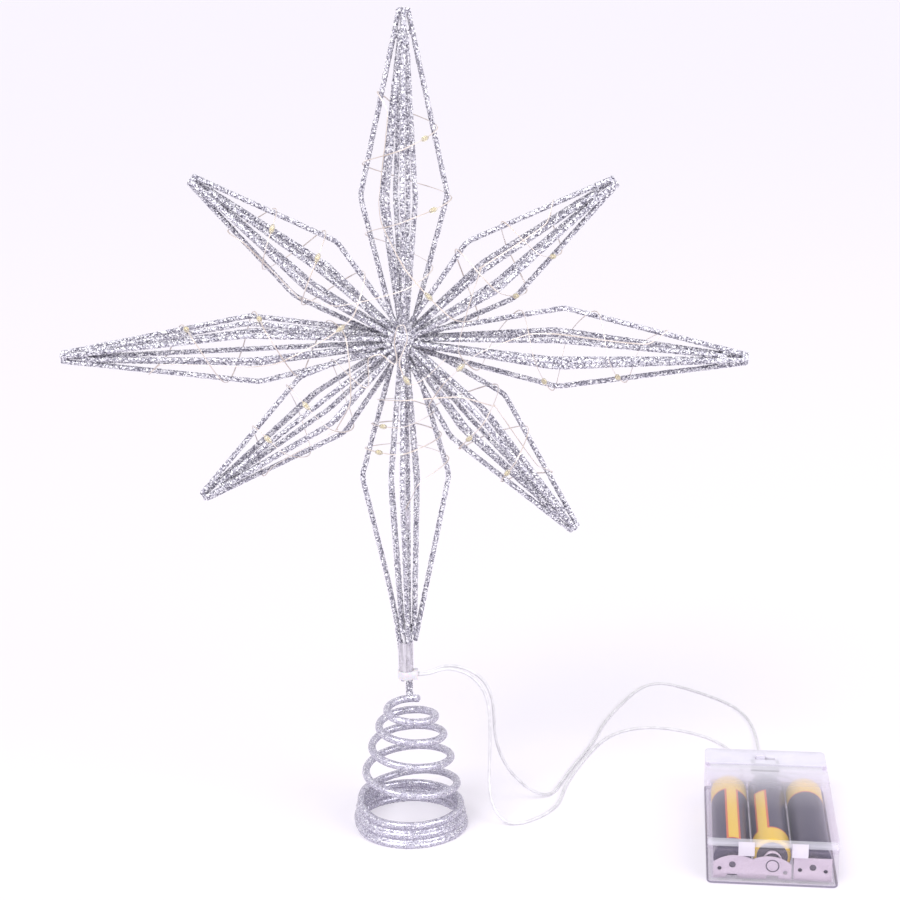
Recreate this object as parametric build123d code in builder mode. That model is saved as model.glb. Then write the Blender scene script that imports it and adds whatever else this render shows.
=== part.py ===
from build123d import *
import math
import os

import numpy as np

os.makedirs("parts", exist_ok=True)

# Star: eight cages of glitter-coated wire round a small hub
star_wire_d = 1.7
wire_gap = 0.1
gather_length = 1.7
side_wire_share = 0.5
wire_bend_radius = 8.0
hub_flat_r = 8.0
hub_depth = 7.0
side_arm_length = 96.7
top_arm_length = 91.0
bottom_arm_length = 89.5
diagonal_arm_length = 73.7
vertical_half_width = 12.4
side_half_width = 10.8
diagonal_half_width = 10.0
vertical_bend_at = 40.3
side_bend_at = 42.4
diagonal_bend_at = 30.0

# Conical coil that stands on the surface or slips over the tree top
coil_wire_d = 2.3
coil_gap = 0.52
coil_top_r = 5.7
coil_closed_r = 14.4
coil_foot_r = 16.1
coil_top_z = 37.5
coil_flare = 0.3
coil_pitch_growth = 0.34
coil_end_turn = -0.083
open_quarters = 17
closed_quarters = 12
foot_cut = 0.5

# Stem, sleeve and collar that join the star to the coil
stem_d = 2.0
stem_length = 18.2
stem_clearance = 0.05
stem_reach = 3.8
tail_below_collar = 1.0
collar_rise = 6.5
collar_height = 2.4
collar_wall = 0.5
collar_lug = 1.0
sleeve_wall = 0.25
sleeve_top_gap = 0.3

# Leads and light string
lead_d = 0.9
lead_clearance = 0.1
lead_socket = 1.0
splice_d = 2.8
splice_length = 5.5
splice_drop = 5.4
string_d = 0.6
string_lift = 0.55
string_bow = 0.35
string_quarters = 11
string_end_at = 15.5
string_start_at = 21.0
string_entry = 4.0
string_out_share = 0.70
string_turn_reach = 5.0
led_d = 2.2
led_length = 4.2

# Battery box for three AAA cells
box_x = 101.3
box_y = -39.4
box_yaw = -5.5
box_width = 36.0
box_wall = 1.2
box_corner_r = 1.6
lid_thickness = 1.2
lid_skirt = 1.8
cell_gap = 0.5
cell_side_gap = 0.55
cell_length = 44.5
cell_lift = 0.2
cell_headroom = 0.3
cap_d = 3.8
cap_height = 0.9
disc_rim = 0.95
disc_t = 0.3
plate_t = 0.3
spring_length = 3.2
spring_wire_d = 0.45
spring_base_r = 2.6
spring_tip_r = 1.8
spring_turns = 3
compartment_length = 10.1
knuckle_r = 1.3
hinge_pin_d = 1.4
hinge_clearance = 0.3
pin_clearance = 0.1
pin_length = 0.9
tab_width = 4.4
tab_spacing = 14.6
tab_t = 0.75
tab_drop = 1.2
tab_gap = 0.05
peg_d = 1.0
peg_clearance = 0.1
peg_edge = 1.7
plate_edge = 0.05
hump_fall = 2.2
hole_r = 0.95
foot_notch = 1.1
rib_width = 1.2
rib_height = 2.0
switch_width = 8.4
switch_depth = 3.6
switch_height = 3.4
knob_width = 2.6
knob_depth = 1.4
knob_height = 1.3
knob_travel = 2.8
knob_clearance = 0.2
knob_foot = 1.4
switch_pin = 0.6
switch_pin_length = 1.5
switch_pin_pitch = 2.5
return_wire_d = 0.8
tag_width = 1.2
tag_reach = 4.5
lead_straight = 5.0

# Values that follow from the sizes above
wire_r = star_wire_d / 2
ring_r = (star_wire_d + wire_gap) / math.sqrt(2)
valley_r = (star_wire_d + wire_gap) / (side_wire_share * math.sqrt(2))
star_y = coil_top_r
tip_z = coil_top_z + stem_length
hub_height = tip_z + bottom_arm_length
hub = Vector(0, star_y, hub_height)
toward_front = Vector(0, -1, 0)
stem_ring_r = stem_d / 2 + stem_clearance + wire_r
collar_bottom_z = coil_top_z + collar_rise
collar_top_z = collar_bottom_z + collar_height
entry_z = hub_height - vertical_bend_at - string_entry
splice_bottom_z = entry_z - splice_drop - splice_length

# Arms in order round the hub: direction and roll of the cage in degrees
arms = []
for name, angle, roll, length, half_width, bend_at in (
    ("arm_bottom", 270.0, 0.0, bottom_arm_length, vertical_half_width, vertical_bend_at),
    ("arm_lower_right", 311.0, -14.0, diagonal_arm_length, diagonal_half_width, diagonal_bend_at),
    ("arm_right", 356.4, 8.0, side_arm_length, side_half_width, side_bend_at),
    ("arm_upper_right", 396.8, 16.0, diagonal_arm_length, diagonal_half_width, diagonal_bend_at),
    ("arm_top", 449.0, 8.0, top_arm_length, vertical_half_width, vertical_bend_at),
    ("arm_upper_left", 501.7, -12.0, diagonal_arm_length, diagonal_half_width, diagonal_bend_at),
    ("arm_left", 542.5, 22.0, side_arm_length, side_half_width, side_bend_at),
    ("arm_lower_left", 578.0, -20.0, diagonal_arm_length, diagonal_half_width, diagonal_bend_at),
):
    on_stem = name == "arm_bottom"
    arms.append(
        {
            "name": name,
            "angle": angle,
            "roll": roll,
            "length": length,
            "half_width": half_width,
            "bend_at": bend_at,
            "tip_ring": stem_ring_r if on_stem else ring_r,
            "on_stem": on_stem,
        }
    )


def cage_point(arm, out, r, phi):
    a = math.radians(arm["angle"])
    p = math.radians(phi)
    along = Vector(math.cos(a), 0, math.sin(a))
    across = Vector(-math.sin(a), 0, math.cos(a))
    return hub + along * out + across * (r * math.cos(p)) + toward_front * (r * math.sin(p))


def cage_stations(arm):
    return [
        (hub_flat_r, ring_r),
        (hub_flat_r + gather_length, ring_r),
        (arm["bend_at"], arm["half_width"]),
        (arm["length"] - gather_length, arm["tip_ring"]),
        (arm["length"], arm["tip_ring"]),
    ]


def cage_radius(arm, out):
    stations = cage_stations(arm)
    return float(np.interp(out, [s[0] for s in stations], [s[1] for s in stations]))


# Distance from the hub, on the hub or the tip side of the bend, where the cage has this radius
def station_of(arm, r, tip_side):
    stations = cage_stations(arm)
    near, far = (stations[3], stations[2]) if tip_side else (stations[1], stations[2])
    return near[0] + (far[0] - near[0]) * (r - near[1]) / (far[1] - near[1])


# Two tangent arcs from one point and direction to the next
def biarc(p0, t0, p1, t1):
    v = p1 - p0
    t = t0 + t1
    k = 2 * (1 - t0.dot(t1))
    if k < 1e-9:
        d = v.dot(v) / (4 * v.dot(t1))
    else:
        d = (-v.dot(t) + math.sqrt(v.dot(t) ** 2 + k * v.dot(v))) / k
    a = p0 + t0 * d
    b = p1 - t1 * d
    return (a + b) * 0.5, (b - a).normalized()


def arc_or_line(p0, t0, p1):
    if t0.cross((p1 - p0).normalized()).length < 1e-4:
        Line(p0, p1)
    else:
        TangentArc(p0, p1, tangent=t0)


# Path of biarcs through points, one biarc from each point to the next
def biarc_path(points, tangents):
    for p0, t0, p1, t1 in zip(points, tangents, points[1:], tangents[1:]):
        middle, heading = biarc(p0, t0, p1, t1)
        arc_or_line(p0, t0, middle)
        arc_or_line(middle, heading, p1)


def chord_tangents(points, first, last):
    inner = [(b - a).normalized() for a, b in zip(points, points[2:])]
    return [first] + inner + [last]


def sampled(edges, per_edge):
    return [edge @ (i / per_edge) for edge in edges for i in range(per_edge)]


# Least clear distance between stretches of one tube that are further apart than skip along it
def least_gap(points, diameter, skip):
    p = np.array([[q.X, q.Y, q.Z] for q in points])
    s = np.concatenate([[0], np.cumsum(np.linalg.norm(np.diff(p, axis=0), axis=1))])
    least = 1e9
    for i in range(len(p)):
        apart = np.abs(s - s[i]) > skip
        if apart.any():
            least = min(least, np.linalg.norm(p[apart] - p[i], axis=1).min())
    return float(least - diameter)


# Hub: a drum with one flat across each arm
corners = []
for here, there in zip(arms, arms[1:] + arms[:1]):
    start = here["angle"]
    end = there["angle"] if there["angle"] > start else there["angle"] + 360
    half = math.radians((end - start) / 2)
    mid = math.radians((end + start) / 2)
    reach = hub_flat_r / math.cos(half)
    corners.append((reach * math.cos(mid), reach * math.sin(mid)))

with BuildPart() as hub_core:
    with BuildSketch(Plane(origin=hub, x_dir=(1, 0, 0), z_dir=(0, -1, 0))):
        with BuildLine():
            Polyline(*corners, close=True)
        make_face()
    extrude(amount=hub_depth / 2, both=True)
hub_core.part.label = "hub_core"
export_step(hub_core.part, "parts/hub_core.step")

# Arms: four corner wires gathered at hub and tip, four side wires that lie between them
for arm in arms:
    reach_in = station_of(arm, valley_r, False)
    valley_tip = valley_r + 2 * (lead_d + wire_gap) if arm["on_stem"] else valley_r
    reach_out = station_of(arm, valley_tip, True)
    with BuildPart() as cage:
        for k in range(8):
            phi = arm["roll"] + 45 * k
            if k % 2 == 0:
                stations = cage_stations(arm)
                if arm["on_stem"] and k == 4:
                    tail = hub_height - collar_bottom_z + tail_below_collar
                    stations[-1] = (tail, arm["tip_ring"])
            else:
                stations = [
                    (reach_in, valley_r * side_wire_share),
                    (arm["bend_at"], arm["half_width"] * side_wire_share),
                    (reach_out, valley_tip * side_wire_share),
                ]
            points = [cage_point(arm, out, r, phi) for out, r in stations]
            with BuildLine() as wire_line:
                FilletPolyline(*points, radius=wire_bend_radius)
            with BuildSketch(Plane(origin=points[0], z_dir=points[1] - points[0])):
                Circle(wire_r)
            sweep(path=wire_line.line)
    cage.part.label = arm["name"]
    export_step(cage.part, "parts/" + arm["name"] + ".step")
    print(arm["name"], len(cage.part.solids()), "wires")

# Coil: height and radius against turns from the back of the top turn, counter-clockwise going down
closed_pitch = coil_wire_d + coil_gap
foot_z = coil_wire_d / 2 - foot_cut
open_end = coil_end_turn + open_quarters / 4
coil_end = open_end + closed_quarters / 4


def coil_fall(turn):
    return turn + coil_pitch_growth * turn * turn / 2


# Height of the closed turns: level rings with one quarter turn between each and the next
def closed_z(turn):
    up = coil_end - turn
    ring = math.floor(up + 1e-6)
    return foot_z + closed_pitch * (ring + max(0.0, (up - ring - 0.75) / 0.25))


def coil_point(turn):
    if turn <= open_end:
        z = coil_top_z - (coil_top_z - closed_z(open_end)) * coil_fall(turn) / coil_fall(open_end)
        share = turn / open_end
        r = coil_top_r + (coil_closed_r - coil_top_r) * share * (1 + coil_flare * (1 - share))
    else:
        r = coil_closed_r + (coil_foot_r - coil_closed_r) * (turn - open_end) / (coil_end - open_end)
        z = closed_z(turn)
    a = math.radians(90 + 360 * turn)
    return Vector(r * math.cos(a), r * math.sin(a), z)


quarters = open_quarters + closed_quarters
coil_turns = [coil_end_turn + k / 4 for k in range(quarters + 1)]
coil_points = [coil_point(t) for t in coil_turns]
coil_tangents = []
for k, t in enumerate(coil_turns):
    heading = (coil_point(t) - coil_point(t - 0.001)).normalized()
    level = Vector(heading.X, heading.Y, 0).normalized()
    coil_tangents.append(level if k >= open_quarters else heading)

with BuildPart() as coil_base:
    with BuildLine() as coil_line:
        biarc_path(coil_points, coil_tangents)
    with BuildSketch(Plane(origin=coil_points[0], z_dir=coil_tangents[0])):
        Circle(coil_wire_d / 2)
    sweep(path=coil_line.line)
    split(bisect_by=Plane.XY, keep=Keep.TOP)
coil_base.part.label = "coil_base"
export_step(coil_base.part, "parts/coil_base.step")
coil_gap_found = least_gap(sampled(coil_line.edges(), 12), coil_wire_d, 4 * coil_top_r)
print("coil: least gap to itself", round(coil_gap_found, 2))

# Stem: a rod seated on the back of the coil's top turn, gripped by the bottom arm's wire ends
with BuildPart() as stem_post:
    with BuildSketch(Plane(origin=(0, star_y, coil_top_z))):
        Circle(stem_d / 2)
    extrude(amount=tip_z + stem_reach - coil_top_z)
    add(coil_base.part, mode=Mode.SUBTRACT)
stem_post.part.label = "stem_post"
export_step(stem_post.part, "parts/stem_post.step")

# Lead places beside the stem, in the valleys between the tail wire and its neighbours
lead_r = lead_d / 2
diagonal = (stem_ring_r + math.sqrt(2 * (wire_r + lead_r + lead_clearance) ** 2 - stem_ring_r**2)) / 2
sleeve_x = (stem_d / 2 - stem_ring_r - wire_r) / 2
sleeve_r = (stem_d / 2 + stem_ring_r + wire_r) / 2 + stem_clearance
collar_r = sleeve_r + collar_wall
lug_x = sleeve_x + collar_r + collar_lug
exit_z = collar_bottom_z + collar_height / 2
lead_spread = lead_r + lead_clearance + 0.1

# Collar: nylon band round the stem, the tail wire and the leads, with a lug where the leads come out
with BuildPart() as lead_collar:
    with BuildSketch(Plane.XY.offset(collar_bottom_z)):
        with Locations((sleeve_x, star_y)):
            Circle(collar_r)
        with Locations((sleeve_x + (lug_x - sleeve_x) / 2, star_y)):
            Rectangle(lug_x - sleeve_x, 2 * (lead_spread + lead_r + collar_wall))
        with Locations((0, star_y)):
            Circle(stem_d / 2 + stem_clearance, mode=Mode.SUBTRACT)
        with Locations((-stem_ring_r, star_y)):
            Circle(wire_r + stem_clearance, mode=Mode.SUBTRACT)
    extrude(amount=collar_height)
    with BuildSketch(Plane.XY.offset(collar_top_z)):
        with Locations((-diagonal, star_y - diagonal), (-diagonal, star_y + diagonal)):
            Circle(lead_r + stem_clearance)
    extrude(amount=-lead_socket, mode=Mode.SUBTRACT)
    with BuildSketch(Plane(origin=(lug_x, star_y, exit_z), x_dir=(0, 1, 0), z_dir=(1, 0, 0))):
        with Locations((-lead_spread, 0), (lead_spread, 0)):
            Circle(lead_r + stem_clearance)
    extrude(amount=-lead_socket, mode=Mode.SUBTRACT)
lead_collar.part.label = "lead_collar"
export_step(lead_collar.part, "parts/lead_collar.step")

# Clear shrink sleeve from the collar up to the star's tip
with BuildPart() as shrink_sleeve:
    with BuildSketch(Plane.XY.offset(collar_top_z)):
        with Locations((sleeve_x, star_y)):
            Circle(sleeve_r + sleeve_wall)
            Circle(sleeve_r, mode=Mode.SUBTRACT)
    extrude(amount=tip_z - sleeve_top_gap - collar_top_z)
shrink_sleeve.part.label = "shrink_sleeve"
export_step(shrink_sleeve.part, "parts/shrink_sleeve.step")

# Lead risers: from the collar past the gathered tip, then up the inside of the bottom arm
riser_x = -0.3
riser_rise = 3.0
riser_y = lead_r + lead_clearance
with BuildPart() as lead_risers:
    for side in (-1, 1):
        points = [
            Vector(-diagonal, star_y + side * diagonal, collar_top_z - lead_socket),
            Vector(-diagonal, star_y + side * diagonal, tip_z + gather_length + riser_rise),
            Vector(riser_x, star_y + side * riser_y, tip_z + gather_length + 2 * riser_rise),
            Vector(riser_x, star_y + side * riser_y, splice_bottom_z),
        ]
        with BuildLine() as riser_line:
            FilletPolyline(*points, radius=5 * lead_d)
        with BuildSketch(Plane(origin=points[0], z_dir=points[1] - points[0])):
            Circle(lead_r)
        sweep(path=riser_line.line)
lead_risers.part.label = "lead_risers"
export_step(lead_risers.part, "parts/lead_risers.step")

with BuildPart() as splice_sleeve:
    with BuildSketch(Plane.XY.offset(splice_bottom_z)):
        with Locations((riser_x, star_y)):
            Circle(splice_d / 2)
    extrude(amount=splice_length)
    fillet(splice_sleeve.edges(), radius=splice_d / 8)
splice_sleeve.part.label = "splice_sleeve"
export_step(splice_sleeve.part, "parts/splice_sleeve.step")

# Light string: round each arm in turn, out along a side wire and back in loops, to a loose knot
lift = wire_r + string_d / 2 + string_lift
splice_top = Vector(riser_x, star_y, splice_bottom_z + splice_length)
string_points = [splice_top]
led_spots = []
for n, arm in enumerate(arms):
    roll = arm["roll"]
    if n == 0:
        turn_at = arm["bend_at"] - string_turn_reach
        inside_at = arm["bend_at"] + string_entry
        string_points.append(cage_point(arm, inside_at, 0.45 * cage_radius(arm, inside_at), roll + 68))
        string_points.append(cage_point(arm, arm["bend_at"] - 1, arm["half_width"] * 0.86, roll + 68))
        string_points.append(cage_point(arm, turn_at, cage_radius(arm, turn_at) + lift, roll))
    else:
        out = string_start_at
        string_points.append(cage_point(arm, out, cage_radius(arm, out) + lift + string_bow, roll + 90))
        if n % 2 == 0:
            led_spots.append(len(string_points) - 1.5)
        turn_from = string_out_share * arm["length"]
        for out in (0.25 * turn_from + 0.75 * string_start_at + 2, arm["bend_at"], turn_from):
            r = cage_radius(arm, out) / math.sqrt(2) + lift + string_bow
            string_points.append(cage_point(arm, out, r, roll + 45))
        turn_at = turn_from + string_turn_reach
        string_points.append(cage_point(arm, turn_at, cage_radius(arm, turn_at) + lift, roll))
    for k in range(1, string_quarters + 1):
        out = turn_at + (string_end_at - turn_at) * k / string_quarters
        bow = string_bow if k == string_quarters else 0.0
        string_points.append(cage_point(arm, out, cage_radius(arm, out) + lift + bow, roll - 90 * k))
        if k in (3, 7):
            led_spots.append(len(string_points) - 1.5)
knot = (
    (-9.5, -6.0, -4.5),
    (-6.0, -6.2, 1.5),
    (-2.8, -6.4, 6.5),
    (0.5, -6.6, 8.5),
    (3.4, -6.8, 6.0),
    (2.2, -7.0, 1.0),
    (-0.8, -7.2, -4.0),
    (-2.4, -7.4, -6.8),
    (-1.0, -7.7, -9.4),
    (2.2, -7.9, -11.0),
    (6.5, -7.8, -9.5),
    (12.0, -7.6, -4.5),
)
string_points += [hub + Vector(*p) for p in knot]
led_spots.append(len(string_points) - 3.5)
last_step = (string_points[-1] - string_points[-2]).normalized()
string_tangents = chord_tangents(string_points, Vector(0, 0, 1), last_step)

with BuildPart() as fairy_wire:
    with BuildLine() as string_line:
        biarc_path(string_points, string_tangents)
    with BuildSketch(Plane(origin=string_points[0], z_dir=string_tangents[0])):
        Circle(string_d / 2)
    sweep(path=string_line.line)
fairy_wire.part.label = "fairy_wire"
export_step(fairy_wire.part, "parts/fairy_wire.step")
string_length = sum(edge.length for edge in string_line.edges())
string_gap = least_gap(sampled(string_line.edges(), 8), string_d, 2 * led_length)
print("string: length", round(string_length), "least gap to itself", round(string_gap, 2))
string_volume = string_length * math.pi * string_d**2 / 4
print("string: volume", round(fairy_wire.part.volume, 1), "of", round(string_volume, 1))

# LED drops: clear resin cast round the string
with BuildPart() as led_drops:
    for spot in led_spots:
        i = int(spot)
        middle, heading = biarc(
            string_points[i], string_tangents[i], string_points[i + 1], string_tangents[i + 1]
        )
        straight = led_length - led_d
        with BuildSketch(Plane(origin=middle - heading * (straight / 2), z_dir=heading)):
            Circle(led_d / 2)
        extrude(amount=straight)
        with Locations(middle - heading * (straight / 2), middle + heading * (straight / 2)):
            Sphere(led_d / 2)
led_drops.part.label = "led_drops"
export_step(led_drops.part, "parts/led_drops.step")
print("drops:", len(led_drops.part.solids()), "of", len(led_spots))

# Battery box frame: x across, y from the front end to the rear, z up
yaw = math.radians(box_yaw)
box_plane = Plane(origin=(box_x, box_y, 0), x_dir=(math.cos(yaw), math.sin(yaw), 0), z_dir=(0, 0, 1))
inner_half = box_width / 2 - box_wall
cell_d = (2 * inner_half - 2 * cell_gap - 2 * cell_side_gap) / 3
cell_pitch = cell_d + cell_gap
disc_d = cell_d - 2 * disc_rim
box_height = box_wall + cell_lift + cell_d + cell_headroom + lid_thickness
bay_length = 2 * plate_t + cell_length + spring_length
bay_rear = box_wall + bay_length
room_front = bay_rear + box_wall
room_rear = room_front + compartment_length
box_length = room_rear + box_wall
wall_top = box_height - lid_thickness
rim_z = wall_top - lid_skirt
cell_z = box_wall + cell_lift + cell_d / 2
front_face = box_wall + plate_t
rear_face = bay_rear - plate_t
hinge_y = bay_rear + box_wall / 2
hinge_z = box_height - knuckle_r
lug_reach = knuckle_r + 0.2
strip_end = hinge_y - math.hypot(lug_reach, knuckle_r) - hinge_clearance
cover_front = hinge_y + knuckle_r + hinge_clearance
switch_y = room_front + compartment_length / 2
switch_top = wall_top
pin_z = switch_top - switch_height - switch_pin_length / 2
tag_x = -cell_pitch / 2 - tag_width - 0.3
return_x = inner_half - return_wire_d / 2 - 0.1
return_z = box_wall + return_wire_d / 2 + 0.1
cell_xs = (-cell_pitch, 0, cell_pitch)
along_box = Axis(box_plane.origin, box_plane.y_dir)


# Sketch plane across the box at a distance from its front end, with x across and y up
def across_box(y):
    return Plane(origin=box_plane.from_local_coords((0, y, 0)), x_dir=box_plane.x_dir, z_dir=-box_plane.y_dir)


plate_half = cell_d / 2 - plate_edge
peg_out = plate_half - peg_edge
peg_z = box_wall + 2.4
front_pegs = [(-cell_pitch - peg_out, peg_z + 0.6), (peg_out, peg_z)]
front_pegs += [(cell_pitch - peg_out, peg_z + 1), (cell_pitch + peg_out, peg_z + 0.8)]
rear_pegs = [(-cell_pitch - peg_out, peg_z), (-cell_pitch + peg_out, peg_z)]
rear_pegs += [(-peg_out, peg_z), (cell_pitch + peg_out, peg_z)]

with BuildPart(box_plane) as box_case:
    with Locations((0, box_length / 2, wall_top / 2)):
        Box(box_width, box_length, wall_top)
    fillet(box_case.edges().filter_by(Axis.Z), radius=box_corner_r)
    fillet(box_case.edges().group_by(Axis.Z)[0], radius=box_wall / 2)
    with Locations((0, box_wall + bay_length / 2, box_wall + box_height / 2)):
        Box(2 * inner_half, bay_length, box_height, mode=Mode.SUBTRACT)
    with Locations((0, room_front + compartment_length / 2, box_wall + box_height / 2)):
        Box(2 * inner_half, compartment_length, box_height, mode=Mode.SUBTRACT)
    with Locations((0, box_wall / 2, rim_z + box_height / 2)):
        Box(2 * box_width, box_wall, box_height, mode=Mode.SUBTRACT)
    with Locations((0, hinge_y, hinge_z - knuckle_r - hinge_clearance + box_height / 2)):
        Box(2 * inner_half, 2 * box_wall, box_height, mode=Mode.SUBTRACT)
    for side in (-1, 1):
        with Locations((side * (inner_half + box_wall / 2), hinge_y, wall_top + lid_thickness / 2)):
            Box(box_wall, 2 * lug_reach, lid_thickness)
        with BuildSketch(
            Plane(
                origin=box_plane.from_local_coords((side * inner_half, hinge_y, hinge_z)),
                z_dir=box_plane.x_dir * side,
            )
        ):
            Circle(hinge_pin_d / 2 + pin_clearance)
        extrude(amount=pin_length, mode=Mode.SUBTRACT)
    for x in (-cell_pitch / 2, cell_pitch / 2):
        with Locations((x, box_wall + bay_length / 2, box_wall + rib_height / 2)):
            Box(rib_width, bay_length - 4 * spring_length, rib_height)
    with BuildSketch(across_box(box_wall)):
        with Locations(*front_pegs):
            Circle(peg_d / 2)
    extrude(amount=-(plate_t + 0.3))
    with BuildSketch(across_box(bay_rear)):
        with Locations(*rear_pegs):
            Circle(peg_d / 2)
    extrude(amount=plate_t + 0.3)
    with BuildSketch(across_box(bay_rear)):
        with Locations((tag_x, pin_z)):
            Rectangle(tag_width + 0.3, plate_t + 0.3)
        with Locations((return_x, return_z)):
            Circle(return_wire_d / 2 + 0.1)
    extrude(amount=-box_wall, mode=Mode.SUBTRACT)
    with BuildSketch(across_box(room_rear)):
        with Locations((tag_x, pin_z), (0, pin_z)):
            Circle(lead_r + stem_clearance)
    extrude(amount=-box_wall, mode=Mode.SUBTRACT)
box_case.part.label = "box_case"
export_step(box_case.part, "parts/box_case.step")

# Compartment cover: closes the rear room and has the slot of the switch
slot_width = knob_width + knob_travel + 2 * knob_clearance
slot_depth = knob_depth + 2 * knob_clearance
with BuildPart(box_plane) as compartment_cover:
    with Locations((0, (cover_front + box_length) / 2, wall_top + lid_thickness / 2)):
        Box(box_width, box_length - cover_front, lid_thickness)
    rear_edges = compartment_cover.edges().filter_by(Axis.Z).sort_by(along_box)
    fillet(rear_edges[-2:], radius=box_corner_r)
    with Locations((0, switch_y, wall_top + lid_thickness / 2)):
        Box(slot_width, slot_depth, 2 * lid_thickness, mode=Mode.SUBTRACT)
compartment_cover.part.label = "compartment_cover"
export_step(compartment_cover.part, "parts/compartment_cover.step")

# Lid: clear plate with a front skirt, two snap tabs and a hinge knuckle with end pins
tongue_half = inner_half - hinge_clearance
with BuildPart(box_plane) as box_lid:
    with Locations((0, strip_end / 2, wall_top + lid_thickness / 2)):
        Box(box_width, strip_end, lid_thickness)
    with Locations((0, (strip_end + hinge_y) / 2, wall_top + lid_thickness / 2)):
        Box(2 * tongue_half, hinge_y - strip_end, lid_thickness)
    with Locations((0, box_wall / 2, wall_top - lid_skirt / 2)):
        Box(box_width, box_wall, lid_skirt)
    front_edges = box_lid.edges().filter_by(Axis.Z).sort_by(along_box)
    fillet(front_edges[:2], radius=0.9 * box_wall)
    with BuildSketch(
        Plane(
            origin=box_plane.from_local_coords((-tongue_half, hinge_y, hinge_z)),
            z_dir=box_plane.x_dir,
        )
    ):
        Circle(knuckle_r)
    extrude(amount=2 * tongue_half)
    with BuildSketch(
        Plane(
            origin=box_plane.from_local_coords((-inner_half - pin_length + 0.1, hinge_y, hinge_z)),
            z_dir=box_plane.x_dir,
        )
    ):
        Circle(hinge_pin_d / 2)
    extrude(amount=2 * (inner_half + pin_length - 0.1))
    for side in (-1, 1):
        tab_height = box_height - rim_z + tab_drop
        with Locations((side * tab_spacing / 2, -(tab_t + tab_gap) / 2, box_height - tab_height / 2)):
            Box(tab_width, tab_t - tab_gap, tab_height)
        with Locations((side * tab_spacing / 2, 0, box_height - lid_thickness / 2)):
            Box(tab_width, 2 * tab_t, lid_thickness)
box_lid.part.label = "box_lid"
export_step(box_lid.part, "parts/box_lid.step")

# Cells: the outer two have the cap to the front, the middle one to the rear
cell_names = ("cell_left", "cell_middle", "cell_right")
can_length = cell_length - cap_height
for name, x in zip(cell_names, cell_xs):
    can_front = front_face + (spring_length if x == 0 else cap_height)
    with BuildPart() as cell:
        with BuildSketch(across_box(can_front)):
            with Locations((x, cell_z)):
                Circle(cell_d / 2)
        extrude(amount=-can_length)
        fillet(cell.edges(), radius=cell_d / 20)
        disc_y = can_front if x == 0 else can_front + can_length
        with BuildSketch(across_box(disc_y)):
            with Locations((x, cell_z)):
                Circle(disc_d / 2)
        extrude(amount=-disc_t if x == 0 else disc_t, mode=Mode.SUBTRACT)
    cell.part.label = name
    export_step(cell.part, "parts/" + name + ".step")

with BuildPart() as cell_caps:
    for x in cell_xs:
        with BuildSketch(across_box(rear_face if x == 0 else front_face)):
            with Locations((x, cell_z)):
                Circle(cap_d / 2)
        extrude(amount=cap_height if x == 0 else -cap_height)
cell_caps.part.label = "cell_caps"
export_step(cell_caps.part, "parts/cell_caps.step")

with BuildPart() as cell_discs:
    for x in cell_xs:
        end_y = front_face + spring_length if x == 0 else rear_face - spring_length
        with BuildSketch(across_box(end_y)):
            with Locations((x, cell_z)):
                Circle(disc_d / 2)
        extrude(amount=-disc_t if x == 0 else disc_t)
cell_discs.part.label = "cell_discs"
export_step(cell_discs.part, "parts/cell_discs.step")

# Contact plates: each end has one plate that links two cells and one single plate
plate_low = box_wall + 0.3
hump_z = cell_z + 1.6
hole_z = cell_z - 1.2
with BuildPart() as front_link_plate:
    with BuildSketch(across_box(box_wall)):
        with BuildLine():
            left_foot, right_foot = (-cell_pitch - plate_half, plate_low), (plate_half, plate_low)
            left_edge = (-cell_pitch - plate_half, hump_z - hump_fall)
            right_edge = (plate_half, hump_z - hump_fall)
            valley = (-cell_pitch / 2, hump_z - hump_fall / 2)
            Polyline(left_edge, left_foot, right_foot, right_edge)
            ThreePointArc(right_edge, (0, hump_z), valley)
            ThreePointArc(valley, (-cell_pitch, hump_z), left_edge)
        make_face()
        with Locations((-cell_pitch, hole_z)):
            Circle(hole_r, mode=Mode.SUBTRACT)
        with Locations(*front_pegs[:2]):
            Circle(peg_d / 2 + peg_clearance, mode=Mode.SUBTRACT)
        with Locations((-cell_pitch, plate_low), (0, plate_low)):
            Trapezoid(plate_half, 2 * foot_notch, 60, mode=Mode.SUBTRACT)
    extrude(amount=-plate_t)
    with BuildSketch(across_box(box_wall)):
        with Locations((0, hole_z)):
            Circle(2 * hole_r)
            Circle(1.6 * hole_r, mode=Mode.SUBTRACT)
    extrude(amount=-plate_t / 2, mode=Mode.SUBTRACT)
front_link_plate.part.label = "front_link_plate"
export_step(front_link_plate.part, "parts/front_link_plate.step")

with BuildPart() as front_single_plate:
    with BuildSketch(across_box(box_wall)):
        with Locations((cell_pitch, (plate_low + hump_z) / 2)):
            Rectangle(2 * plate_half, hump_z - plate_low)
        with Locations((cell_pitch, hole_z)):
            Circle(hole_r, mode=Mode.SUBTRACT)
        with Locations(*front_pegs[2:]):
            Circle(peg_d / 2 + peg_clearance, mode=Mode.SUBTRACT)
    extrude(amount=-plate_t)
front_single_plate.part.label = "front_single_plate"
export_step(front_single_plate.part, "parts/front_single_plate.step")

rear_low = return_z + return_wire_d / 2 + 0.3
rear_top = pin_z + 0.8
with BuildPart() as rear_link_plate:
    with BuildSketch(across_box(bay_rear)):
        with Locations((cell_pitch / 2, (rear_low + rear_top) / 2)):
            Rectangle(cell_pitch + 2 * plate_half, rear_top - rear_low)
        with Locations(*rear_pegs[2:]):
            Circle(peg_d / 2 + peg_clearance, mode=Mode.SUBTRACT)
    extrude(amount=plate_t)
rear_link_plate.part.label = "rear_link_plate"
export_step(rear_link_plate.part, "parts/rear_link_plate.step")

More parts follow.
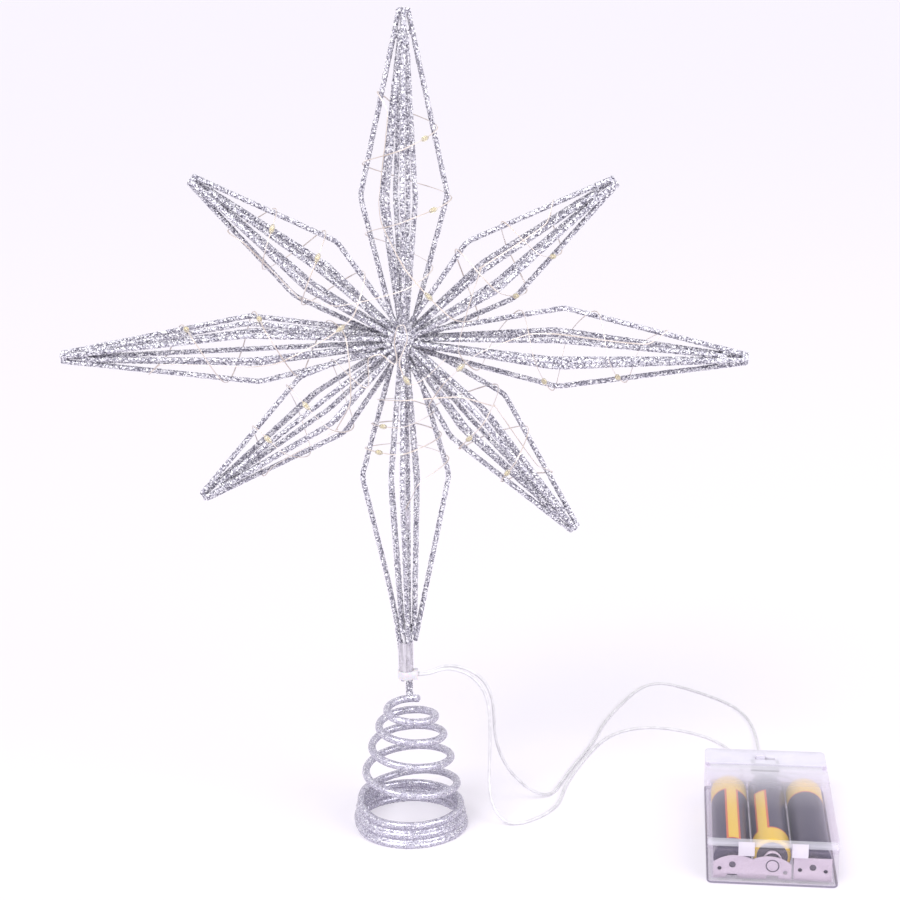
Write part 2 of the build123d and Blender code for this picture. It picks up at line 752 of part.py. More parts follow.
tag_rear = room_front + tag_reach
with BuildPart() as rear_single_plate:
    with BuildSketch(across_box(bay_rear)):
        with Locations((-cell_pitch, (rear_low + rear_top) / 2)):
            Rectangle(2 * plate_half, rear_top - rear_low)
        with Locations(*rear_pegs[:2]):
            Circle(peg_d / 2 + peg_clearance, mode=Mode.SUBTRACT)
    extrude(amount=plate_t)
    with BuildSketch(across_box(bay_rear)):
        with Locations((tag_x, pin_z)):
            Rectangle(tag_width, plate_t)
    extrude(amount=bay_rear - tag_rear)
rear_single_plate.part.label = "rear_single_plate"
export_step(rear_single_plate.part, "parts/rear_single_plate.step")

# Contact springs: conical coils on the negative ends
spring_r = spring_wire_d / 2
with BuildPart() as contact_springs:
    for x in cell_xs:
        plate_y = front_face if x == 0 else rear_face
        toward = 1 if x == 0 else -1
        points = []
        for k in range(4 * spring_turns + 1):
            share = k / (4 * spring_turns)
            r = spring_base_r + (spring_tip_r - spring_base_r) * share
            depth = spring_r + 0.05 + (spring_length - spring_wire_d - 0.1) * share
            a = math.radians(90 * k)
            local = (x + r * math.cos(a), plate_y + toward * depth, cell_z + r * math.sin(a))
            points.append(box_plane.from_local_coords(local))
        points = [Vector(p) for p in points]
        first = (points[1] - points[0]).normalized() * 2 - (points[2] - points[0]).normalized()
        last = (points[-1] - points[-2]).normalized() * 2 - (points[-1] - points[-3]).normalized()
        tangents = chord_tangents(points, first.normalized(), last.normalized())
        with BuildLine() as spring_line:
            biarc_path(points, tangents)
        with BuildSketch(Plane(origin=points[0], z_dir=tangents[0])):
            Circle(spring_r)
        sweep(path=spring_line.line)
        print("spring: least gap", round(least_gap(sampled(spring_line.edges(), 8), spring_wire_d, 6), 2))
contact_springs.part.label = "contact_springs"
export_step(contact_springs.part, "parts/contact_springs.step")

# Slide switch under the cover, its pins and its knob
with BuildPart(box_plane) as switch_body:
    with Locations((0, switch_y, switch_top - switch_height / 2)):
        Box(switch_width, switch_depth, switch_height)
    with Locations((0, switch_y, switch_top)):
        Box(slot_width, slot_depth, 2 * (knob_foot + knob_clearance), mode=Mode.SUBTRACT)
switch_body.part.label = "switch_body"
export_step(switch_body.part, "parts/switch_body.step")

with BuildPart(box_plane) as switch_pins:
    for x in (-switch_pin_pitch, 0, switch_pin_pitch):
        with Locations((x, switch_y, switch_top - switch_height - switch_pin_length / 2)):
            Box(switch_pin, switch_pin, switch_pin_length)
switch_pins.part.label = "switch_pins"
export_step(switch_pins.part, "parts/switch_pins.step")

knob_tall = knob_foot + lid_thickness + knob_height
with BuildPart(box_plane) as switch_knob:
    with Locations((-knob_travel / 2, switch_y, switch_top - knob_foot + knob_tall / 2)):
        Box(knob_width, knob_depth, knob_tall)
    fillet(switch_knob.edges().group_by(Axis.Z)[-1], radius=knob_depth / 5)
switch_knob.part.label = "switch_knob"
export_step(switch_knob.part, "parts/switch_knob.step")

# Return wire: from the front single plate along the right wall to the switch
return_points = [
    (return_x, front_face, return_z),
    (return_x, room_front + 2.5, return_z),
    (return_x - 2.6, switch_y, return_z + 1.6),
    (switch_pin_pitch + 4.5, switch_y, pin_z),
    (switch_pin_pitch + switch_pin / 2, switch_y, pin_z),
]
return_points = [Vector(box_plane.from_local_coords(p)) for p in return_points]
with BuildPart() as return_wire:
    with BuildLine() as return_line:
        FilletPolyline(*return_points, radius=1.6 * return_wire_d)
    with BuildSketch(Plane(origin=return_points[0], z_dir=return_points[1] - return_points[0])):
        Circle(return_wire_d / 2)
    sweep(path=return_line.line)
return_wire.part.label = "return_wire"
export_step(return_wire.part, "parts/return_wire.step")

# Free leads from the collar over the surface to the box
pin_rear = switch_y + switch_pin / 2
lead_routes = {
    "lead_wire_a": [
        (lug_x - lead_socket, star_y + lead_spread, exit_z),
        (lug_x + 2.8, star_y + lead_spread, exit_z),
        (10.2, 6.7, 47.5),
        (15.0, 6.9, 47.0),
        (19.6, 7.1, 44.8),
        (22.9, 7.3, 41.0),
        (24.5, 7.5, 36.0),
        (24.8, 7.8, 30.6),
        (25.0, 8.3, 24.6),
        (26.4, 9.2, 18.6),
        (28.8, 10.6, 13.0),
        (32.0, 12.6, 8.0),
        (35.6, 14.8, 3.9),
        (39.4, 16.6, 1.3),
        (42.4, 19.2, 0.5),
        (44.2, 23.4, 0.5),
        (46.4, 30.0, 0.5),
        (50.2, 40.6, 0.5),
        (54.3, 50.6, 0.5),
        (57.9, 60.8, 0.5),
        (60.4, 70.6, 0.5),
        (64.2, 81.0, 0.5),
        (69.2, 92.0, 0.5),
        (74.0, 101.6, 0.5),
        (79.0, 107.8, 0.5),
        (85.4, 108.6, 0.5),
        (93.0, 102.6, 0.5),
        (100.8, 95.0, 0.5),
        (107.0, 86.4, 0.5),
        (110.0, 75.4, 0.5),
        (110.4, 63.6, 0.5),
        (109.6, 52.4, 0.8),
        (108.9, 42.2, 2.6),
        (108.2, 34.0, 5.6),
    ],
    "lead_wire_b": [
        (lug_x - lead_socket, star_y - lead_spread, exit_z),
        (lug_x + 2.8, star_y - lead_spread, exit_z),
        (10.2, 5.2, 47.2),
        (15.0, 5.4, 46.4),
        (19.2, 5.5, 43.8),
        (22.1, 5.6, 39.8),
        (23.3, 5.6, 34.8),
        (23.6, 5.4, 29.2),
        (23.6, 5.0, 23.2),
        (23.4, 4.2, 17.2),
        (23.2, 2.8, 11.6),
        (23.8, 0.8, 6.8),
        (25.8, -1.0, 3.0),
        (29.0, -2.0, 0.9),
        (33.0, -1.0, 0.5),
        (37.4, 2.2, 0.5),
        (41.4, 6.8, 0.5),
        (44.2, 12.6, 0.5),
        (45.6, 19.4, 0.5),
        (47.4, 27.6, 0.5),
        (51.2, 38.8, 0.5),
        (55.4, 49.2, 0.5),
        (59.6, 58.6, 0.5),
        (65.0, 65.6, 0.5),
        (72.2, 69.6, 0.5),
        (79.6, 69.8, 0.5),
        (86.6, 67.2, 0.5),
        (93.0, 63.0, 0.5),
        (98.0, 57.0, 0.5),
        (100.8, 49.6, 0.8),
        (101.1, 41.8, 2.2),
        (101.0, 34.6, 4.7),
    ],
}
box_ends = {
    "lead_wire_a": [(0, box_length + lead_straight, pin_z), (0, pin_rear, pin_z)],
    "lead_wire_b": [(tag_x, box_length + lead_straight, pin_z), (tag_x, tag_rear, pin_z)],
}
for name, route in lead_routes.items():
    points = [Vector(*p) for p in route]
    points += [Vector(box_plane.from_local_coords(p)) for p in box_ends[name]]
    radii = []
    for p, q, r in zip(points, points[1:], points[2:]):
        turn = math.radians((q - p).get_angle(r - q))
        radii.append(0.45 * min((q - p).length, (r - q).length) / math.tan(turn / 2))
    with BuildPart() as lead:
        with BuildLine() as lead_line:
            FilletPolyline(*points, radius=radii)
        with BuildSketch(Plane(origin=points[0], z_dir=points[1] - points[0])):
            Circle(lead_r)
        sweep(path=lead_line.line)
    lead.part.label = name
    export_step(lead.part, "parts/" + name + ".step")
    length = sum(edge.length for edge in lead_line.edges())
    print(name, "length", round(length, 1), "least radius", round(min(radii), 1))
    print(name, "volume", round(lead.part.volume, 2), "of", round(length * math.pi * lead_r**2, 2))
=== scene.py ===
import math
import random

import bpy
from mathutils import Matrix, Vector


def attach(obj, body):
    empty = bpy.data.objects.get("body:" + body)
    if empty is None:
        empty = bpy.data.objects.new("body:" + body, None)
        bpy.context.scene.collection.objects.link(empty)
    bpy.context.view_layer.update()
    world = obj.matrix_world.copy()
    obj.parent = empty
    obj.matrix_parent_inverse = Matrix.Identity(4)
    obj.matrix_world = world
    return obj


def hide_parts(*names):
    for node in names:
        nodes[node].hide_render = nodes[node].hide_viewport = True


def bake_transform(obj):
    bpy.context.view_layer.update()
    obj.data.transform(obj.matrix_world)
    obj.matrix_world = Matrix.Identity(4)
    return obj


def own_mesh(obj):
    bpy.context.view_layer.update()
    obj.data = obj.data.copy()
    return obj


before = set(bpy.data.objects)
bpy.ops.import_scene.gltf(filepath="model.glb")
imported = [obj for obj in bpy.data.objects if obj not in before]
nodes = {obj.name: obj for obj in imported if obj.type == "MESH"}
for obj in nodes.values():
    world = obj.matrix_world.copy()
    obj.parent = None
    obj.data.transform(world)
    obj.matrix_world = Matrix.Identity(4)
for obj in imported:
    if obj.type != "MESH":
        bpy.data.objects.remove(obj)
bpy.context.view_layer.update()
scene = bpy.context.scene
mm = 0.001
print("frame loaded:", len(nodes), "nodes")


# sRGB hex to linear colour
def tint(code):
    parts = [int(code[i:i + 2], 16) / 255 for i in (1, 3, 5)]
    return tuple(c / 12.92 if c <= 0.04045 else ((c + 0.055) / 1.055) ** 2.4 for c in parts) + (1.0,)


# adds a node, sets its options and fills or links its inputs; a node as a value is its first output
def addNode(tree, kind, inputs=None, **options):
    node = tree.nodes.new(kind)
    for key, value in options.items():
        setattr(node, key, value)
    for socket, value in (inputs or {}).items():
        if isinstance(value, bpy.types.Node):
            value = value.outputs[0]
        if isinstance(value, bpy.types.NodeSocket):
            tree.links.new(value, node.inputs[socket])
        else:
            node.inputs[socket].default_value = value
    return node


def startMaterial(name, sockets):
    material = bpy.data.materials.new(name)
    material.use_nodes = True
    tree = material.node_tree
    surface = tree.nodes["Principled BSDF"]
    for socket, value in sockets.items():
        surface.inputs[socket].default_value = value
    return material, tree, surface


def fillRamp(ramp, stops):
    marks = ramp.color_ramp.elements
    while len(marks) < len(stops):
        marks.new(0.5)
    for mark, (place, code) in zip(marks, stops):
        mark.position = place
        mark.color = tint(code)


def pick(*pieces):
    bpy.ops.object.select_all(action="DESELECT")
    for piece in pieces:
        piece.select_set(True)
    bpy.context.view_layer.objects.active = pieces[0]


def dress(piece, material):
    piece.data.materials.clear()
    piece.data.materials.append(material)


# camera at the photograph's place
viewpoint = {
    "place": (0.0241, -0.5288, 0.2575),
    "forward": (-0.02053, 0.96524, -0.26055),
    "up": (0.00608, 0.26072, 0.96540),
    "sensor": 36.0,
    "focal": 77.88,
    "nearest": 0.01,
}
forward = Vector(viewpoint["forward"]).normalized()
right = forward.cross(Vector(viewpoint["up"])).normalized()
upward = right.cross(forward)
cameraData = bpy.data.cameras.new("viewpoint")
cameraData.sensor_width = viewpoint["sensor"]
cameraData.sensor_fit = "HORIZONTAL"
cameraData.lens = viewpoint["focal"]
cameraData.clip_start = viewpoint["nearest"]
cameraObject = bpy.data.objects.new("viewpoint", cameraData)
cameraTurn = Matrix((right, upward, -forward)).transposed().to_4x4()
cameraObject.matrix_world = Matrix.Translation(viewpoint["place"]) @ cameraTurn
scene.collection.objects.link(cameraObject)
scene.camera = cameraObject
scene.view_settings.view_transform = "Standard"
print("camera placed")

# studio: pale floor, white surround, a soft sun and a lamp near the object
studio = {
    "floor": "#f8f4fc",
    "floorSize": 60.0,
    "surround": "#fdfaff",
    "skyLight": 0.58,
    "floorGlow": 0.5,
    "glowStrength": 0.95,
    "sunlight": 2.2,
    "sunSpread": math.radians(28),
    "lamps": (
        ("keyLamp", "SUN", (-0.5, -0.7, 1.1)),
        ("fillLamp", "AREA", (0.85, -0.65, 0.75)),
    ),
    "fillSize": 0.7,
    "fillPower": 7.5,
    "aim": (0.02, 0.0, 0.12),
}


# 1 for rays that show the surround itself, straight on, in metal or through clear plastic
def shownRays(tree):
    path = addNode(tree, "ShaderNodeLightPath")
    shown = path.outputs["Is Camera Ray"]
    for ray in ("Is Glossy Ray", "Is Transmission Ray"):
        shown = addNode(tree, "ShaderNodeMath", {0: shown, 1: path.outputs[ray]}, operation="MAXIMUM")
    return shown


world = bpy.data.worlds.new("surround")
scene.world = world
world.use_nodes = True
tree = world.node_tree
tree.nodes.clear()
shown = shownRays(tree)
strength = addNode(tree, "ShaderNodeMapRange", {"Value": shown, "To Min": studio["skyLight"], "To Max": 1.0})
sky = addNode(tree, "ShaderNodeBackground", {"Color": tint(studio["surround"]), "Strength": strength})
addNode(tree, "ShaderNodeOutputWorld", {"Surface": sky})

floorShade = tint(studio["floor"])
floorMaterial, tree, surface = startMaterial("studioFloor", {"Base Color": floorShade, "Roughness": 0.9})
share = addNode(tree, "ShaderNodeMath", {0: shownRays(tree), 1: studio["floorGlow"]}, operation="MULTIPLY")
glow = addNode(tree, "ShaderNodeEmission", {"Color": floorShade, "Strength": studio["glowStrength"]})
mixed = addNode(tree, "ShaderNodeMixShader", {0: share, 1: surface, 2: glow})
tree.links.new(mixed.outputs[0], tree.nodes["Material Output"].inputs["Surface"])
bpy.ops.object.select_all(action="DESELECT")
bpy.ops.mesh.primitive_plane_add(size=studio["floorSize"], location=(0, 0, 0))
floor = bpy.context.object
floor.name = "studioFloor"
dress(floor, floorMaterial)
for name, kind, place in studio["lamps"]:
    lamp = bpy.data.lights.new(name, kind)
    if kind == "SUN":
        lamp.energy = studio["sunlight"]
        lamp.angle = studio["sunSpread"]
    else:
        lamp.energy = studio["fillPower"]
        lamp.size = studio["fillSize"]
    lampObject = bpy.data.objects.new(name, lamp)
    lampObject.location = place
    lampObject.rotation_euler = (Vector(studio["aim"]) - Vector(place)).to_track_quat("-Z", "Y").to_euler()
    scene.collection.objects.link(lampObject)
print("studio set")

# battery box frame: x across, y from the front end to the rear, z up
boxFrame = {"x": 101.3, "y": -39.4, "yaw": math.radians(-5.5)}


def boxPoint(x, y, z):
    c, s = math.cos(boxFrame["yaw"]), math.sin(boxFrame["yaw"])
    return Vector((boxFrame["x"] + x * c - y * s, boxFrame["y"] + x * s + y * c, z)) * mm


# flakes of one size in mm, each in one of the shades; their other chance values can drive more
def flakeShades(tree, surface, flake, stops):
    spot = addNode(tree, "ShaderNodeTexCoord")
    flakes = addNode(
        tree,
        "ShaderNodeTexVoronoi",
        {"Vector": spot.outputs["Object"], "Scale": 1 / (flake * mm)},
    )
    chances = addNode(tree, "ShaderNodeSeparateColor", {"Color": flakes.outputs["Color"]})
    ramp = addNode(tree, "ShaderNodeValToRGB", {"Fac": chances.outputs["Red"]})
    ramp.color_ramp.interpolation = "CONSTANT"
    fillRamp(ramp, stops)
    tree.links.new(ramp.outputs["Color"], surface.inputs["Base Color"])
    return chances


# a finish that is uneven in patches of one size in mm: in its shade, and raised where it has a depth
def mottled(name, look):
    material, tree, surface = startMaterial(name, look["sockets"])
    spot = addNode(tree, "ShaderNodeTexCoord")
    patches = addNode(
        tree,
        "ShaderNodeTexNoise",
        {"Vector": spot.outputs["Object"], "Scale": 1 / (look["patch"] * mm), "Detail": look["detail"]},
    )
    if "stops" in look:
        ramp = addNode(tree, "ShaderNodeValToRGB", {"Fac": patches})
        fillRamp(ramp, look["stops"])
        tree.links.new(ramp.outputs["Color"], surface.inputs["Base Color"])
    if "raised" in look:
        lumps = addNode(
            tree,
            "ShaderNodeBump",
            {"Height": patches, "Distance": look["raised"] * mm, "Strength": look["strength"]},
        )
        tree.links.new(lumps.outputs[0], surface.inputs["Normal"])
    return material


# coarse polyester glitter glued on steel wire: flat flakes, some mirror bright and some turned dark; each
# flake's shade, from dark to white, is a painted glint or painted shade
glitterLook = {
    "flake": 0.32,  # mm, drawn a little coarser than life to show in the render
    "stops": ((0.0, "#5b5968"), (0.16, "#8b8996"), (0.4, "#b6b4bf"), (0.64, "#dcdbe2"), (0.84, "#ffffff")),
    "smoothest": 0.18,
    "roughest": 0.5,
}
glitterMaterial, tree, surface = startMaterial("silverGlitterCoat", {"Metallic": 0.45})
chances = flakeShades(tree, surface, glitterLook["flake"], glitterLook["stops"])
rough = addNode(
    tree,
    "ShaderNodeMapRange",
    {
        "Value": chances.outputs["Green"],
        "To Min": glitterLook["smoothest"],
        "To Max": glitterLook["roughest"],
    },
)
tree.links.new(rough.outputs[0], surface.inputs["Roughness"])

# the coil has a finer glitter dust in lacquer: calmer, lavender grey with small sparks; the flakes' shades,
# up to white, are painted glints and painted shade
coilLook = {
    "flake": 0.25,  # mm
    "stops": ((0.0, "#83808f"), (0.12, "#a29fae"), (0.34, "#bebbca"), (0.74, "#d3d1dd"), (0.92, "#ffffff")),
    "raised": 0.05,  # mm
    "strength": 0.5,
}
coilMaterial, tree, surface = startMaterial("glitterLacquer", {"Metallic": 0.55, "Roughness": 0.24})
chances = flakeShades(tree, surface, coilLook["flake"], coilLook["stops"])
lumps = addNode(
    tree,
    "ShaderNodeBump",
    {
        "Height": chances.outputs["Green"],
        "Distance": coilLook["raised"] * mm,
        "Strength": coilLook["strength"],
    },
)
tree.links.new(lumps.outputs[0], surface.inputs["Normal"])

# shrink tube: clear and thin, cloudy in streaks, so the wires in it show through
tubeLook = {
    "sockets": {"Base Color": tint("#eeebf0"), "Roughness": 0.2, "IOR": 1.5},
    "clear": "#f4f2f6",
    "streak": 0.9,  # mm across
    "stretch": (1.0, 1.0, 0.25),
    "raised": 0.15,  # mm
    "strength": 0.6,
    "cloud": {"From Min": 0.3, "From Max": 0.7, "To Min": 0.2, "To Max": 0.5},
}
tubeMaterial, tree, surface = startMaterial("shrinkTube", tubeLook["sockets"])
spot = addNode(tree, "ShaderNodeTexCoord")
stretched = addNode(
    tree,
    "ShaderNodeMapping",
    {"Vector": spot.outputs["Object"], "Scale": tubeLook["stretch"]},
)
streaks = addNode(
    tree,
    "ShaderNodeTexNoise",
    {"Vector": stretched, "Scale": 1 / (tubeLook["streak"] * mm), "Detail": 2.0},
)
lumps = addNode(
    tree,
    "ShaderNodeBump",
    {"Height": streaks, "Distance": tubeLook["raised"] * mm, "Strength": tubeLook["strength"]},
)
tree.links.new(lumps.outputs[0], surface.inputs["Normal"])
clear = addNode(tree, "ShaderNodeBsdfTransparent", {"Color": tint(tubeLook["clear"])})
cloud = addNode(tree, "ShaderNodeMapRange", {"Value": streaks, **tubeLook["cloud"]})
mixed = addNode(tree, "ShaderNodeMixShader", {0: cloud, 1: clear, 2: surface})
tree.links.new(mixed.outputs[0], tree.nodes["Material Output"].inputs["Surface"])

# nylon: white moulded, slightly waxy
nylonLook = {
    "sockets": {"Roughness": 0.4, "IOR": 1.53, "Subsurface Weight": 0.2, "Subsurface Scale": 0.5 * mm},
    "patch": 1.2,
    "detail": 2.0,
    "stops": ((0.3, "#cfccd3"), (0.7, "#dddbe0")),
}
nylonMaterial = mottled("whiteNylon", nylonLook)

# clear PVC over tinned strands: milky pale grey
pvcLook = {
    "sockets": {"Roughness": 0.3, "IOR": 1.4, "Transmission Weight": 0.15},
    "patch": 2.5,
    "detail": 2.0,
    "stops": ((0.3, "#d6d5d9"), (0.7, "#ebeaed")),
}
pvcMaterial = mottled("clearPvc", pvcLook)

# enamelled copper: thin drawn wire, pinkish tan
copperLook = {
    "sockets": {"Metallic": 0.55, "Roughness": 0.36},
    "patch": 6.0,
    "detail": 2.0,
    "stops": ((0.3, "#d3c6bc"), (0.7, "#f2ebe6")),
}
copperMaterial = mottled("enamelledCopper", copperLook)

# cast epoxy: a clear drop, warm and a little lumpy
resinLook = {
    "sockets": {"Base Color": tint("#f5f0de"), "Roughness": 0.08, "IOR": 1.52, "Transmission Weight": 0.75},
    "patch": 0.9,
    "detail": 1.0,
    "raised": 0.1,  # mm
    "strength": 0.4,
}
resinMaterial = mottled("castResin", resinLook)

# the chip in it, under a dull coat of phosphor: pale yellow
chipLook = {
    "sockets": {"Roughness": 0.55},
    "patch": 0.4,
    "detail": 1.0,
    "stops": ((0.3, "#e2d3a0"), (0.7, "#f0e8cc")),
}
chipMaterial = mottled("phosphorChip", chipLook)


# object coordinates turned into the battery box's own axes
def boxAxes(tree):
    spot = addNode(tree, "ShaderNodeTexCoord")
    turned = addNode(
        tree,
        "ShaderNodeMapping",
        {
            "Vector": spot.outputs["Object"],
            "Location": boxPoint(0, 0, 0),
            "Rotation": (0, 0, boxFrame["yaw"]),
        },
        vector_type="TEXTURE",
    )
    return spot, addNode(tree, "ShaderNodeSeparateXYZ", {"Vector": turned})


# moulded polystyrene: thin and clear with a lilac cast, milky by an amount that changes along the box,
# with another shade and haze below a height, on the case a painted shade along its bottom edge, and most
# light let through to what lies behind
plastic = {
    "clear": "#fbf9fc",
    "cloud": 7.0,  # mm
    "front": -2,  # mm along the box, where the haze starts
    "rear": 64,
    "footBlur": 0.1,
    "shadowShare": 0.25,  # of the haze, for light that passes through
}


# haze is pairs of place and amount, first the two that the curve starts with
def clearPlastic(name, shades, roughness, haze, foot):
    material, tree, surface = startMaterial(name, {"Roughness": roughness, "IOR": 1.5})
    spot, axes = boxAxes(tree)
    clouds = addNode(
        tree,
        "ShaderNodeTexNoise",
        {"Vector": spot.outputs["Object"], "Scale": 1 / (plastic["cloud"] * mm), "Detail": 3.0},
    )
    ramp = addNode(tree, "ShaderNodeValToRGB", {"Fac": clouds})
    fillRamp(ramp, ((0.3, shades[0]), (0.7, shades[1])))
    under = (foot["top"] - plastic["footBlur"]) * mm
    over = (foot["top"] + plastic["footBlur"]) * mm
    high = addNode(
        tree,
        "ShaderNodeMapRange",
        {"Value": axes.outputs["Z"], "From Min": under, "From Max": over},
    )
    shade = addNode(tree, "ShaderNodeMix", {0: high, 6: tint(foot["shade"]), 7: ramp}, data_type="RGBA")
    tree.links.new(shade.outputs[2], surface.inputs["Base Color"])
    front, rear = plastic["front"], plastic["rear"]
    along = addNode(
        tree,
        "ShaderNodeMapRange",
        {"Value": axes.outputs["Y"], "From Min": front * mm, "From Max": rear * mm},
    )
    veil = addNode(tree, "ShaderNodeFloatCurve", {"Value": along})
    marks = veil.mapping.curves[0].points
    for k, (y, amount) in enumerate(haze):
        place = ((y - front) / (rear - front), amount)
        if k < 2:
            marks[k].location = place
        else:
            marks.new(*place)
    for mark in marks:
        mark.handle_type = "VECTOR"
    veil.mapping.update()
    clear = addNode(tree, "ShaderNodeBsdfTransparent", {"Color": tint(plastic["clear"])})
    milk = addNode(tree, "ShaderNodeMix", {0: high, 2: foot["haze"], 3: veil}, data_type="FLOAT")
    path = addNode(tree, "ShaderNodeLightPath")
    block = addNode(
        tree,
        "ShaderNodeMapRange",
        {"Value": path.outputs["Is Shadow Ray"], "To Min": 1.0, "To Max": plastic["shadowShare"]},
    )
    milk = addNode(tree, "ShaderNodeMath", {0: milk, 1: block}, operation="MULTIPLY")
    mixed = addNode(tree, "ShaderNodeMixShader", {0: milk, 1: clear, 2: surface})
    tree.links.new(mixed.outputs[0], tree.nodes["Material Output"].inputs["Surface"])
    return material


caseLook = {
    "shades": ("#e4dded", "#efeaf4"),
    "roughness": 0.12,
    "haze": ((-2, 0.07), (64, 0.16), (1.3, 0.07), (1.4, 0.05)),
    # foot: painted shade, the case's bottom edge darkened for its contact shadow and its thick floor seen
    # edge on
    "foot": {"top": 0.9, "shade": "#6f677f", "haze": 0.72},
}
lidLook = {
    "shades": ("#dfdee7", "#e9e8f0"),
    "roughness": 0.3,
    # the milkier strip at the front edge, up to 1.2 mm, is frost and a painted highlight along that edge
    "haze": ((-2, 0.42), (51, 0.66), (1.2, 0.42), (1.3, 0.04), (22, 0.07), (34, 0.16), (40, 0.3), (46, 0.5)),
    "foot": {"top": 11.6, "shade": "#e9e5ee", "haze": 0.06},
}
noFoot = {**lidLook["foot"], "top": 0}
# snap tabs: milky white for their frost and a painted highlight
tabLook = {
    "shades": ("#cfc9d4", "#d8d2dd"),
    "roughness": 0.4,
    "haze": ((-2, 0.85), (64, 0.85)),
    "foot": noFoot,
}
coverLook = {
    "shades": ("#d8d6e1", "#e3e1ea"),
    "roughness": 0.4,
    "haze": ((-2, 0.7), (64, 0.8)),
    "foot": noFoot,
}
caseMaterial = clearPlastic("clearPolystyrene", **caseLook)
lidMaterial = clearPlastic("frostedPolystyrene", **lidLook)
tabMaterial = clearPlastic("frostAndHighlightPolystyrene", **tabLook)
coverMaterial = clearPlastic("milkyPolystyrene", **coverLook)

# shrink film on a cell's can: glossy and dark, with a yellow band at the negative end and a bordered
# yellow panel along it
film = {
    "dark": "#25203c",
    "yellow": "#e0bf2e",
    "line": "#c95f2a",
    "roughness": 0.28,
    "axisZ": 6.65,
    "radius": 5.25,
    "panelHalf": 2.0,
    "border": 0.6,
    "wrinkle": 4.0,  # mm
    "raised": 0.1,  # mm
    "strength": 0.3,
}


# band and panel are lengths along the box, turn is the panel's angle from the top
def cellFilm(name, middleX, band, panel, turn):
    material, tree, surface = startMaterial(name, {"Roughness": film["roughness"]})
    spot, axes = boxAxes(tree)
    aside = addNode(tree, "ShaderNodeMath", {0: axes.outputs["X"], 1: middleX * mm}, operation="SUBTRACT")
    axisZ = film["axisZ"] * mm
    above = addNode(tree, "ShaderNodeMath", {0: axes.outputs["Z"], 1: axisZ}, operation="SUBTRACT")
    angle = addNode(tree, "ShaderNodeMath", {0: aside, 1: above}, operation="ARCTAN2")
    angle = addNode(tree, "ShaderNodeMath", {0: angle, 1: math.radians(turn)}, operation="SUBTRACT")
    angle = addNode(tree, "ShaderNodeMath", {0: angle}, operation="ABSOLUTE")
    radius = film["radius"] * mm
    half = film["panelHalf"] * mm
    beside = addNode(tree, "ShaderNodeMath", {0: angle, 1: radius, 2: -half}, operation="MULTIPLY_ADD")
    ends = []
    for low, high in (band, panel):
        middle = (low + high) / 2 * mm
        reach = (high - low) / 2 * mm
        past = addNode(tree, "ShaderNodeMath", {0: axes.outputs["Y"], 1: middle}, operation="SUBTRACT")
        past = addNode(tree, "ShaderNodeMath", {0: past}, operation="ABSOLUTE")
        ends.append(addNode(tree, "ShaderNodeMath", {0: past, 1: reach}, operation="SUBTRACT"))
    pastBand, pastPanel = ends
    border = film["border"] * mm
    inPanel = addNode(tree, "ShaderNodeMath", {0: beside, 1: pastPanel}, operation="MAXIMUM")
    inBand = addNode(tree, "ShaderNodeMath", {0: pastBand, 1: border}, operation="SUBTRACT")
    inside = addNode(tree, "ShaderNodeMath", {0: inPanel, 1: inBand}, operation="MINIMUM")
    limit = border * 2
    step = addNode(tree, "ShaderNodeMapRange", {"Value": inside, "From Min": -limit, "From Max": limit})
    ramp = addNode(tree, "ShaderNodeValToRGB", {"Fac": step})
    ramp.color_ramp.interpolation = "CONSTANT"
    fillRamp(ramp, ((0.0, film["yellow"]), (0.25, film["line"]), (0.5, film["dark"])))
    tree.links.new(ramp.outputs["Color"], surface.inputs["Base Color"])
    wrinkles = addNode(
        tree,
        "ShaderNodeTexNoise",
        {"Vector": spot.outputs["Object"], "Scale": 1 / (film["wrinkle"] * mm), "Detail": 2.0},
    )
    lumps = addNode(
        tree,
        "ShaderNodeBump",
        {"Height": wrinkles, "Distance": film["raised"] * mm, "Strength": film["strength"]},
    )
    tree.links.new(lumps.outputs[0], surface.inputs["Normal"])
    return material


leftFilm = cellFilm("cellFilmLeft", middleX=-11.0, band=(37.0, 50.0), panel=(4.6, 40.0), turn=4)
middleFilm = cellFilm("cellFilmMiddle", middleX=0.0, band=(2.0, 12.0), panel=(9.0, 37.0), turn=-28)
rightFilm = cellFilm("cellFilmRight", middleX=11.0, band=(37.0, 50.0), panel=(4.6, 40.0), turn=150)

# nickel plate on pressed steel: warm white metal, faint rolling lines
nickelLook = {
    "line": 0.12,  # mm
    "stretch": (0.15, 1.0, 1.0),
    "stops": ((0.3, "#c6bdc3"), (0.7, "#d6cdd3")),
    "smoothest": 0.38,
    "roughest": 0.48,
}
nickelMaterial, tree, surface = startMaterial("nickelPlate", {"Metallic": 0.55})
spot = addNode(tree, "ShaderNodeTexCoord")
stretched = addNode(
    tree,
    "ShaderNodeMapping",
    {"Vector": spot.outputs["Object"], "Scale": nickelLook["stretch"]},
)
lines = addNode(
    tree,
    "ShaderNodeTexNoise",
    {"Vector": stretched, "Scale": 1 / (nickelLook["line"] * mm), "Detail": 1.0},
)
ramp = addNode(tree, "ShaderNodeValToRGB", {"Fac": lines})
fillRamp(ramp, nickelLook["stops"])
rough = addNode(
    tree,
    "ShaderNodeMapRange",
    {"Value": lines, "To Min": nickelLook["smoothest"], "To Max": nickelLook["roughest"]},
)
tree.links.new(ramp.outputs["Color"], surface.inputs["Base Color"])
tree.links.new(rough.outputs[0], surface.inputs["Roughness"])

# drawn steel of the cells' ends, darker than the plates: a painted shade, as if in the shadow of the plates'
# holes
capLook = {
    "sockets": {"Metallic": 0.7, "Roughness": 0.45},
    "patch": 0.3,
    "detail": 2.0,
    "stops": ((0.3, "#423e48"), (0.7, "#5c5761")),
}
capMaterial = mottled("drawnSteelPaintedShade", capLook)

